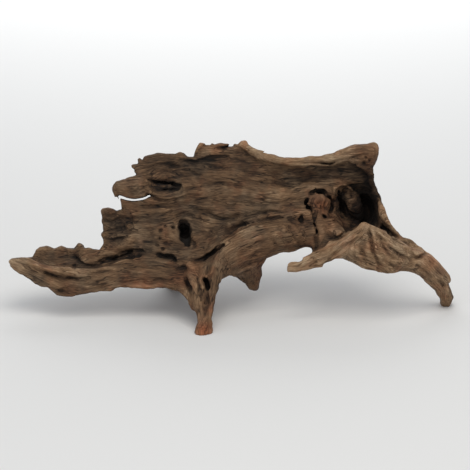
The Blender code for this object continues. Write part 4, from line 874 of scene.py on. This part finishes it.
def skinOf(lattice):
    # points and quads where the distance is zero
    limit = 3.0 * lattice.cell  # distances count only this near the skin
    grid = vdb.FloatGrid(limit)
    grid.gridClass = vdb.GridClass.LEVEL_SET
    grid.copyFromArray(np.clip(lattice.field, -limit, limit).astype(np.float32))
    points, quads = grid.convertToQuads(isovalue=0.0)
    points = points.astype(np.float32) * np.float32(lattice.cell) + lattice.low.astype(np.float32)
    return points, quads[:, ::-1].astype(np.int64)


def largestShell(points, quads):
    # each point takes the lowest label among its neighbours until nothing changes
    ends = np.concatenate([quads[:, [i, (i + 1) % 4]] for i in range(4)])
    ends = np.concatenate([ends, ends[:, ::-1]])
    ends = ends[np.argsort(ends[:, 0], kind="stable")]
    first = np.searchsorted(ends[:, 0], np.arange(len(points)))
    label = np.arange(len(points))
    while True:
        lowest = np.minimum(label, np.minimum.reduceat(label[ends[:, 1]], first))
        lowest = lowest[lowest]
        if (lowest == label).all():
            break
        label = lowest
    names, counts = np.unique(label, return_counts=True)
    keep = label == names[counts.argmax()]
    index = np.cumsum(keep) - 1
    return points[keep], index[quads[keep[quads].all(1)]]


def pointNormals(points, quads):
    # cross product of each quad's diagonals, summed at its corners
    a, b, c, d = (points[corner] for corner in quads.T)
    flat = np.cross(c - a, d - b)
    normals = np.zeros((len(points), 3))
    for axis in range(3):
        for corner in quads.T:
            normals[:, axis] += np.bincount(corner, flat[:, axis], len(points))
    return normals / np.maximum(np.linalg.norm(normals, axis=1, keepdims=True), 1e-9)


def boxBlur(values, reach):
    # running mean over 2 * reach + 1 cells along each axis in turn
    for axis in range(3):
        margins = [(reach + 1, reach) if a == axis else (0, 0) for a in range(3)]
        padded = np.pad(values, margins, mode="edge")
        total = np.cumsum(padded, axis=axis, dtype=np.float32)
        upper = np.take(total, range(2 * reach + 1, total.shape[axis]), axis=axis)
        lower = np.take(total, range(0, total.shape[axis] - 2 * reach - 1), axis=axis)
        values = (upper - lower) / (2 * reach + 1)
    return values


def crowding(lattice, points, normals, reach):
    # share of wood round a place 0.3 of the reach above each point, less a half; it paints shade
    # into crevices and hollows, and light onto bulges, in the tone
    coarse = 2  # every second sample is enough
    inside = (lattice.field[::coarse, ::coarse, ::coarse] < 0.0).astype(np.float32)
    step = int(round(reach / 2.2 / lattice.cell))  # two box blurs of this spread like one of reach
    step = max(step // coarse, 1)
    blurred = boxBlur(boxBlur(inside, step), step)
    return lattice.valueAt(blurred, points + 0.3 * reach * normals, coarse) - 0.5


def meshObject(name, points, faces):
    mesh = bpy.data.meshes.new(name)
    mesh.vertices.add(len(points))
    mesh.vertices.foreach_set("co", np.ascontiguousarray(points, np.float32).ravel())
    sides = faces.shape[1]
    mesh.loops.add(faces.size)
    mesh.loops.foreach_set("vertex_index", faces.astype(np.int32).ravel())
    mesh.polygons.add(len(faces))
    mesh.polygons.foreach_set("loop_start", np.arange(0, faces.size, sides, dtype=np.int32))
    mesh.update(calc_edges=True)
    obj = bpy.data.objects.new(name, mesh)
    bpy.context.scene.collection.objects.link(obj)
    return obj


def thinned(obj, triangles):
    # larger triangles where the skin is smoother
    modifier = obj.modifiers.new("Decimate", "DECIMATE")
    modifier.ratio = min(triangles / (2.0 * len(obj.data.polygons)), 1.0)
    modifier.use_collapse_triangulate = True
    graph = bpy.context.evaluated_depsgraph_get()
    mesh = bpy.data.meshes.new_from_object(obj.evaluated_get(graph))
    obj.modifiers.clear()
    obj.data = mesh


def vertexVectors(mesh, name):
    values = np.empty(len(mesh.vertices) * 3, np.float32)
    mesh.vertices.foreach_get(name, values)
    return values.reshape(-1, 3)


def toFrame(points, settings):
    # the face frame turned back by the lean about x, then moved over the origin
    c, s = math.cos(settings["lean"]), math.sin(settings["lean"])
    x, y, z = points.T
    across, back = settings["baseCentre"]
    return np.stack([x - across, y * c + z * s - back, z * c - y * s], 1) / 1000.0


def addAttribute(mesh, name, values):
    kind = "FLOAT_VECTOR" if values.ndim == 2 else "FLOAT"
    layer = mesh.attributes.new(name, kind, "POINT")
    field = "vector" if values.ndim == 2 else "value"
    layer.data.foreach_set(field, values.astype(np.float32).ravel())


def strongestGrain(points, inset, settings):
    # coordinates along, across and into the grain of the path that counts most at each point
    fields = grainFields(points, inset, settings)
    most = np.argmax([weight for _, weight, _ in fields], axis=0)
    return np.stack([grain for grain, _, _ in fields])[most, np.arange(len(points))]


# How worn and stained places differ in tone, with painted shade in grooves, crevices and hollows:
# 0 is the darkest wood, 1 the palest.
toneSettings = {
    "middle": 0.460,
    "ridge": 0.0155,  # for each mm that the furrows stand up
    # painted shade in crevices and hollows, and painted light on bulges: for wood crowding round a
    # point within so many mm, loss of tone, and crowding on a flat face
    "crowdedShade": [(14.0, 0.76, -0.24), (48.0, 0.50, -0.25)],
    "sunk": 0.010,  # painted shade: loss of tone for each mm under the skin that the hollows were cut in
    "sunkMost": 0.36,
    # bars worn pale, and by how much
    "wornForms": [
        (limbLip, 0.14), (limb, 0.10), (limbFold, 0.10), (armRidge, 0.08), (topBead, 0.12),
        (horn, 0.04), (legLeft, 0.05), (shoulderStrand, 0.16),
    ],
    "wornReach": 20.0,
    "stainAndShadeReach": 1.3,  # each place fades out at this many radii
    "stainAndShadeFade": 0.6,  # and over so many
    # middle, radii and loss of tone of darker places, or of paler ones where it is below zero; the
    # darker ones in and round the deep hollow and its hump, the crescent, the knot hole, the
    # recess by the flap, the crevice over the leg, the shard behind and the left wall that turns
    # away are painted shade
    "stainsAndPaintedShade": [
        ((309, 172, 274), (34, 66, 44), 0.40), ((246, 160, 294), (12, 40, 26), 0.22),
        ((-105, 120, 222), (15, 40, 28), 0.20), ((-146, 110, 328), (32, 40, 12), 0.18),
        ((322, 130, 326), (26, 60, 46), 0.26), ((300, 110, 326), (44, 60, 30), 0.14),
        ((304, 110, 390), (36, 60, 34), 0.22),
        ((-266, 130, 240), (36, 60, 44), 0.13), ((-182, 90, 130), (84, 60, 26), 0.10),
        ((-130, 110, 376), (96, 60, 34), 0.11), ((0, 118, 384), (60, 60, 30), 0.08),
        ((48, 160, 124), (34, 70, 44), 0.12), ((-38, 36, 92), (13, 50, 60), 0.12),
        ((20, 110, 290), (110, 60, 44), -0.07), ((140, 120, 360), (110, 60, 16), -0.06),
        ((240, 80, 232), (40, 60, 26), -0.06), ((205, 90, 240), (30, 50, 24), -0.07),
        ((-238, 110, 326), (34, 60, 20), 0.09), ((268, 178, 290), (16, 40, 30), 0.06),
        ((250, 90, 210), (70, 60, 40), -0.04), ((130, 110, 300), (60, 60, 50), -0.02),
        ((-200, 60, 110), (46, 60, 9), -0.16), ((-58, 110, 408), (30, 60, 13), -0.12),
        ((286, 176, 290), (20, 30, 30), 0.04),
        ((-212, 110, 168), (20, 40, 10), 0.08), ((-40, 80, 176), (24, 40, 12), 0.05),
        ((-88, 10, 8), (14, 30, 16), 0.12), ((-360, 60, 86), (62, 60, 9), 0.12),
        ((18, 90, 236), (34, 50, 17), -0.13), ((262, 60, 200), (40, 60, 26), -0.05),
    ],
    # x, z, radius and share of places stained red-brown
    "rustPlaces": [
        (-61, 4, 24, 0.9), (-44, 56, 18, 0.5), (-236, 112, 15, 0.5), (-212, 110, 15, 0.55),
        (-186, 107, 15, 0.55), (-160, 106, 14, 0.5), (-120, 118, 20, 0.4), (-84, 140, 20, 0.4),
        (-362, 92, 20, 0.4), (318, 388, 30, 0.25), (452, 156, 26, 0.3), (206, 286, 30, 0.5),
        (225, 236, 26, 0.25), (60, 150, 46, 0.3), (-32, 412, 14, 0.4), (290, 274, 30, 0.3),
        (160, 250, 30, 0.25), (286, 400, 26, 0.2),
    ],
}


def toneOf(lattice, points, normals, height, settings):
    tone = np.full(len(points), settings["middle"])
    tone += settings["ridge"] * height
    # painted shade: darker where wood crowds round the point, paler where it stands open
    for reach, amount, flat in settings["crowdedShade"]:
        tone -= amount * (crowding(lattice, points, normals, reach) - flat)
    # painted shade in the hollows, the deeper the darker
    tone -= np.minimum(settings["sunk"] * lattice.sunk(points), settings["sunkMost"])
    # stains, and painted shade in hollows, crevices and on parts turned from the light
    for centre, radii, amount in settings["stainsAndPaintedShade"]:
        scaled = np.linalg.norm((points - centre) / np.array(radii, float), axis=1)
        tone -= amount * smoothStep((settings["stainAndShadeReach"] - scaled) / settings["stainAndShadeFade"])
    for stations, amount in settings["wornForms"]:
        gap = sweptDistance(rounded(stations), points.T)
        tone += amount * smoothStep(1.0 - gap / settings["wornReach"])
    return np.clip(tone, 0.0, 1.0)


def rustOf(points, settings):
    # the most that any place gives: share * exp(-(distance / radius)^2)
    x, _, z = points.T
    rust = np.zeros(len(points))
    for px, pz, radius, amount in settings["rustPlaces"]:
        rust = np.maximum(rust, amount * np.exp(-((x - px) ** 2 + (z - pz) ** 2) / radius**2))
    return rust


def makeRoot(settings, tones):
    lattice = growRoot(settings)
    points, quads = largestShell(*skinOf(lattice))
    print("skin of", len(quads), "quads")
    normals = pointNormals(points, quads)
    fine = furrowHeight(points, insetAt(lattice, points), "fineFurrows", settings)
    obj = meshObject("dryRoot", points + fine[:, None] * normals, quads)
    thinned(obj, settings["triangles"])
    mesh = obj.data
    mesh.name = "dryRoot"
    print("thinned to", len(mesh.polygons), "triangles")
    points = vertexVectors(mesh, "co")
    normals = vertexVectors(mesh, "normal")
    inset = insetAt(lattice, points)
    height = furrowHeight(points, inset, "furrows", settings)
    height += furrowHeight(points, inset, "fineFurrows", settings)
    addAttribute(mesh, "grain", strongestGrain(points, inset, settings))
    addAttribute(mesh, "tone", toneOf(lattice, points, normals, height, tones))
    addAttribute(mesh, "rust", rustOf(points, tones))
    final = toFrame(points, settings)
    final[:, 2] = np.where(final[:, 2] < settings["floorSnap"], 0.0, final[:, 2])
    mesh.vertices.foreach_set("co", final.astype(np.float32).ravel())
    mesh.polygons.foreach_set("use_smooth", np.ones(len(mesh.polygons), bool))
    mesh.update()
    print("tones laid on the skin")
    return obj


def linearColour(code):
    # sRGB hex to linear: 12.92 divides the low values, the 2.4 power curve takes the rest
    values = [int(code[i : i + 2], 16) / 255.0 for i in (1, 3, 5)]
    return [v / 12.92 if v <= 0.04045 else ((v + 0.055) / 1.055) ** 2.4 for v in values] + [1.0]


def addNode(tree, kind, inputs, **options):
    # inputs maps a socket's name or number to a value or to another node's output
    node = tree.nodes.new("ShaderNode" + kind)
    for name, value in options.items():
        setattr(node, name, value)
    for socket, value in inputs.items():
        if isinstance(value, bpy.types.NodeSocket):
            tree.links.new(value, node.inputs[socket])
        else:
            node.inputs[socket].default_value = value
    return node


def newMaterial(name):
    material = bpy.data.materials.new(name)
    material.use_nodes = True
    return material, material.node_tree, material.node_tree.nodes["Principled BSDF"]


woodSettings = {
    "tones": [(0.0, "#130d08"), (0.18, "#2d1f14"), (0.38, "#4e3a28"), (0.58, "#6e543c"),
              (0.78, "#937658"), (1.0, "#bda182")],
    "rust": "#853f1e",
    "rustMost": 0.72,
    "redWood": "#76482f",  # heartwood showing through
    "redWidth": 30.0,  # mm, size of its patches
    "redFrom": 0.50,  # level of the noise where they start
    "redMost": 0.40,
    "greyWood": "#5c5446",  # weathered silver-grey
    "greyWidth": 44.0,
    "greyFrom": 0.46,
    "greyMost": 0.26,
    "patchFade": 0.16,
    "noiseSpread": (0.27, 0.73),  # nearly all values of a noise lie between these
    "streakWidth": 4.6,  # mm
    "streakAmount": 0.22,
    "fibreWidth": 1.9,
    "fibreAmount": 0.26,
    "blotchWidth": 46.0,
    "blotchAmount": 0.20,
    "checkWidth": 11.0,  # mm between the drying checks
    "checkLine": 0.035,  # share of that width that a check takes up
    # painted shade in the checks: how much they darken the tone
    "checkShadeAmount": 0.30,
    "dryPlaces": 33.0,  # places that have checks, for each metre
    "dryFade": (0.40, 0.58),  # levels of the noise where they start and are full
    "lipHighlightAmount": 0.12,  # painted highlight on the lip beside each check
    "bumpHeight": 0.0014,  # m, of the streaks
    "fibreRelief": 0.4,  # share of that which the fibres stand up
    "checkRelief": 0.6,  # and the checks go down
    "roughness": 0.82,
    "ior": 1.5,
    "specular": 0.3,
}


def weatheredRootWood(settings):
    # dry root wood, bleached on its ridges, with fibres along the grain and rust-brown heartwood,
    # painted shade in its crevices, hollows and checks, and a painted highlight beside the checks
    material, tree, shader = newMaterial("weatheredRootWood")
    grain = addNode(tree, "Attribute", {}, attribute_name="grain").outputs["Vector"]
    tone = addNode(tree, "Attribute", {}, attribute_name="tone").outputs["Fac"]
    rust = addNode(tree, "Attribute", {}, attribute_name="rust").outputs["Fac"]
    place = addNode(tree, "TexCoord", {}).outputs["Object"]

    # streaks and fibres: noise drawn out along the grain, the streaks with a little wave in them
    streak = addNode(tree, "TexNoise", {
        "Vector": grain, "Scale": 1.0 / settings["streakWidth"], "Detail": 3.0, "Roughness": 0.6,
        "Distortion": 0.5}).outputs["Fac"]
    fibre = addNode(tree, "TexNoise", {
        "Vector": grain, "Scale": 1.0 / settings["fibreWidth"], "Detail": 2.0,
        "Roughness": 0.5}).outputs["Fac"]
    blotch = addNode(tree, "TexNoise", {
        "Vector": place, "Scale": 1000.0 / settings["blotchWidth"], "Detail": 4.0,
        "Roughness": 0.55}).outputs["Fac"]
    # drying checks: thin lines where a wide noise crosses its middle, only in some places
    wide = addNode(tree, "TexNoise", {
        "Vector": grain, "Scale": 1.0 / settings["checkWidth"], "Detail": 2.0,
        "Roughness": 0.5}).outputs["Fac"]
    dry = addNode(tree, "TexNoise", {
        "Vector": place, "Scale": settings["dryPlaces"]}).outputs["Fac"]
    low, high = settings["dryFade"]
    dry = addNode(tree, "MapRange", {
        "Value": dry, "From Min": low, "From Max": high}).outputs["Result"]
    lines = []
    for level in (0.5, 0.5 + 2.0 * settings["checkLine"]):
        offset = addNode(tree, "Math", {0: wide, 1: level}, operation="SUBTRACT").outputs[0]
        offset = addNode(tree, "Math", {0: offset}, operation="ABSOLUTE").outputs[0]
        line = addNode(tree, "MapRange", {
            "Value": offset, "From Max": settings["checkLine"], "To Min": 1.0,
            "To Max": 0.0}).outputs["Result"]
        lines.append(addNode(tree, "Math", {0: line, 1: dry}, operation="MULTIPLY").outputs[0])
    check, lip = lines

    # tone of the place, plus each noise spread round nothing, less the checks as painted shade in
    # the cracks, plus a painted highlight on their lips
    total = tone
    low, high = settings["noiseSpread"]
    for noise, name in ((streak, "streak"), (fibre, "fibre"), (blotch, "blotch")):
        half = 0.5 * settings[name + "Amount"]
        spread = addNode(tree, "MapRange", {
            "Value": noise, "From Min": low, "From Max": high, "To Min": -half,
            "To Max": half}).outputs["Result"]
        total = addNode(tree, "Math", {0: total, 1: spread}, operation="ADD").outputs[0]
    for line, amount in ((check, -settings["checkShadeAmount"]), (lip, settings["lipHighlightAmount"])):
        total = addNode(
            tree, "Math", {0: line, 1: amount, 2: total}, operation="MULTIPLY_ADD").outputs[0]
    ramp = addNode(tree, "ValToRGB", {"Fac": total})
    stops = ramp.color_ramp.elements
    while len(stops) < len(settings["tones"]):
        stops.new(0.5)
    for stop, (position, code) in zip(stops, settings["tones"]):
        stop.position = position
        stop.color = linearColour(code)
    colour = ramp.outputs["Color"]

    # patches of red and of grey wood keep the tone under them
    for name in ("red", "grey"):
        low = settings[name + "From"]
        patch = addNode(tree, "TexNoise", {
            "Vector": place, "Scale": 1000.0 / settings[name + "Width"], "Detail": 3.0,
            "W": low}, noise_dimensions="4D").outputs["Fac"]
        share = addNode(tree, "MapRange", {
            "Value": patch, "From Min": low, "From Max": low + settings["patchFade"],
            "To Max": settings[name + "Most"]}).outputs["Result"]
        tint = linearColour(settings[name + "Wood"])
        colour = addNode(tree, "Mix", {0: share, 6: colour, 7: tint},
                         data_type="RGBA", blend_type="COLOR").outputs[2]
    stained = addNode(
        tree, "Math", {0: rust, 1: settings["rustMost"]}, operation="MULTIPLY").outputs[0]
    colour = addNode(tree, "Mix", {0: stained, 6: colour, 7: linearColour(settings["rust"])},
                     data_type="RGBA", blend_type="COLOR").outputs[2]
    tree.links.new(colour, shader.inputs["Base Color"])

    # fibres and checks too fine for the mesh
    relief = streak
    for line, amount in ((fibre, settings["fibreRelief"]), (check, -settings["checkRelief"])):
        relief = addNode(
            tree, "Math", {0: line, 1: amount, 2: relief}, operation="MULTIPLY_ADD").outputs[0]
    bump = addNode(tree, "Bump", {
        "Strength": 1.0, "Distance": settings["bumpHeight"], "Height": relief})
    tree.links.new(bump.outputs["Normal"], shader.inputs["Normal"])
    shader.inputs["Roughness"].default_value = settings["roughness"]
    shader.inputs["IOR"].default_value = settings["ior"]
    shader.inputs["Specular IOR Level"].default_value = settings["specular"]
    return material


stageSettings = {
    "floorHalf": 14.0,  # m, half the side
    "floor": "#e4e4e3",
    "floorRoughness": 0.95,
    "floorSpecular": 0.1,
    "world": "#e9edf2",
    "worldStrength": 0.55,
    # name, place in m, point aimed at, side in m, watts, colour
    "lights": [
        ("keyLight", (0.4, -1.5, 3.4), (0.0, 0.0, 0.1), 3.0, 62.0, "#fffaf2"),
        ("fillLight", (-1.2, -4.0, 2.0), (0.0, 0.0, 0.1), 3.0, 20.0, "#f3f6ff"),
        ("backLight", (0.0, 3.2, 1.6), (0.0, 0.0, 0.1), 3.2, 60.0, "#ffffff"),
    ],
}


def paintedFloor(settings):
    # matt painted board
    material, _, shader = newMaterial("mattPaintedBoard")
    shader.inputs["Base Color"].default_value = linearColour(settings["floor"])
    shader.inputs["Roughness"].default_value = settings["floorRoughness"]
    shader.inputs["Specular IOR Level"].default_value = settings["floorSpecular"]
    return material


def aimed(place, target):
    return (Vector(place) - Vector(target)).to_track_quat("Z", "Y").to_euler()


def makeStage(settings):
    half = settings["floorHalf"]
    corners = np.array([(-half, -half, 0), (half, -half, 0), (half, half, 0), (-half, half, 0)])
    floor = meshObject("floor", corners, np.array([[0, 1, 2, 3]]))
    floor.data.materials.append(paintedFloor(settings))
    for name, place, target, side, watts, code in settings["lights"]:
        light = bpy.data.lights.new(name, "AREA")
        light.shape = "SQUARE"
        light.size = side
        light.energy = watts
        light.color = linearColour(code)[:3]
        lamp = bpy.data.objects.new(name, light)
        lamp.location = place
        lamp.rotation_euler = aimed(place, target)
        bpy.context.scene.collection.objects.link(lamp)
    world = bpy.data.worlds.new("paleStudio")
    world.use_nodes = True
    background = world.node_tree.nodes["Background"]
    background.inputs["Color"].default_value = linearColour(settings["world"])
    background.inputs["Strength"].default_value = settings["worldStrength"]
    bpy.context.scene.world = world


cameraSettings = {
    "elevation": math.radians(18.0),
    "distance": 9.0,  # m
    "widthInView": 1.0575,  # m across the picture at the root
    "sensorWidth": 36.0,  # mm
    "aim": (0.007, -0.0170, 0.1795),
}


def makeCamera(settings):
    camera = bpy.data.cameras.new("camera")
    camera.sensor_width = settings["sensorWidth"]
    camera.lens = settings["sensorWidth"] * settings["distance"] / settings["widthInView"]
    obj = bpy.data.objects.new("camera", camera)
    c, s = math.cos(settings["elevation"]), math.sin(settings["elevation"])
    obj.location = Vector(settings["aim"]) + settings["distance"] * Vector((0.0, -c, s))
    obj.rotation_euler = aimed(obj.location, settings["aim"])
    bpy.context.scene.collection.objects.link(obj)
    bpy.context.scene.camera = obj


root = makeRoot(rootSettings, toneSettings)
root.data.materials.append(weatheredRootWood(woodSettings))
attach(root, "root")
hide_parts("dry_root")
print("root dressed")

makeStage(stageSettings)
makeCamera(cameraSettings)
bpy.context.scene.view_settings.view_transform = "Standard"
print("stage set")
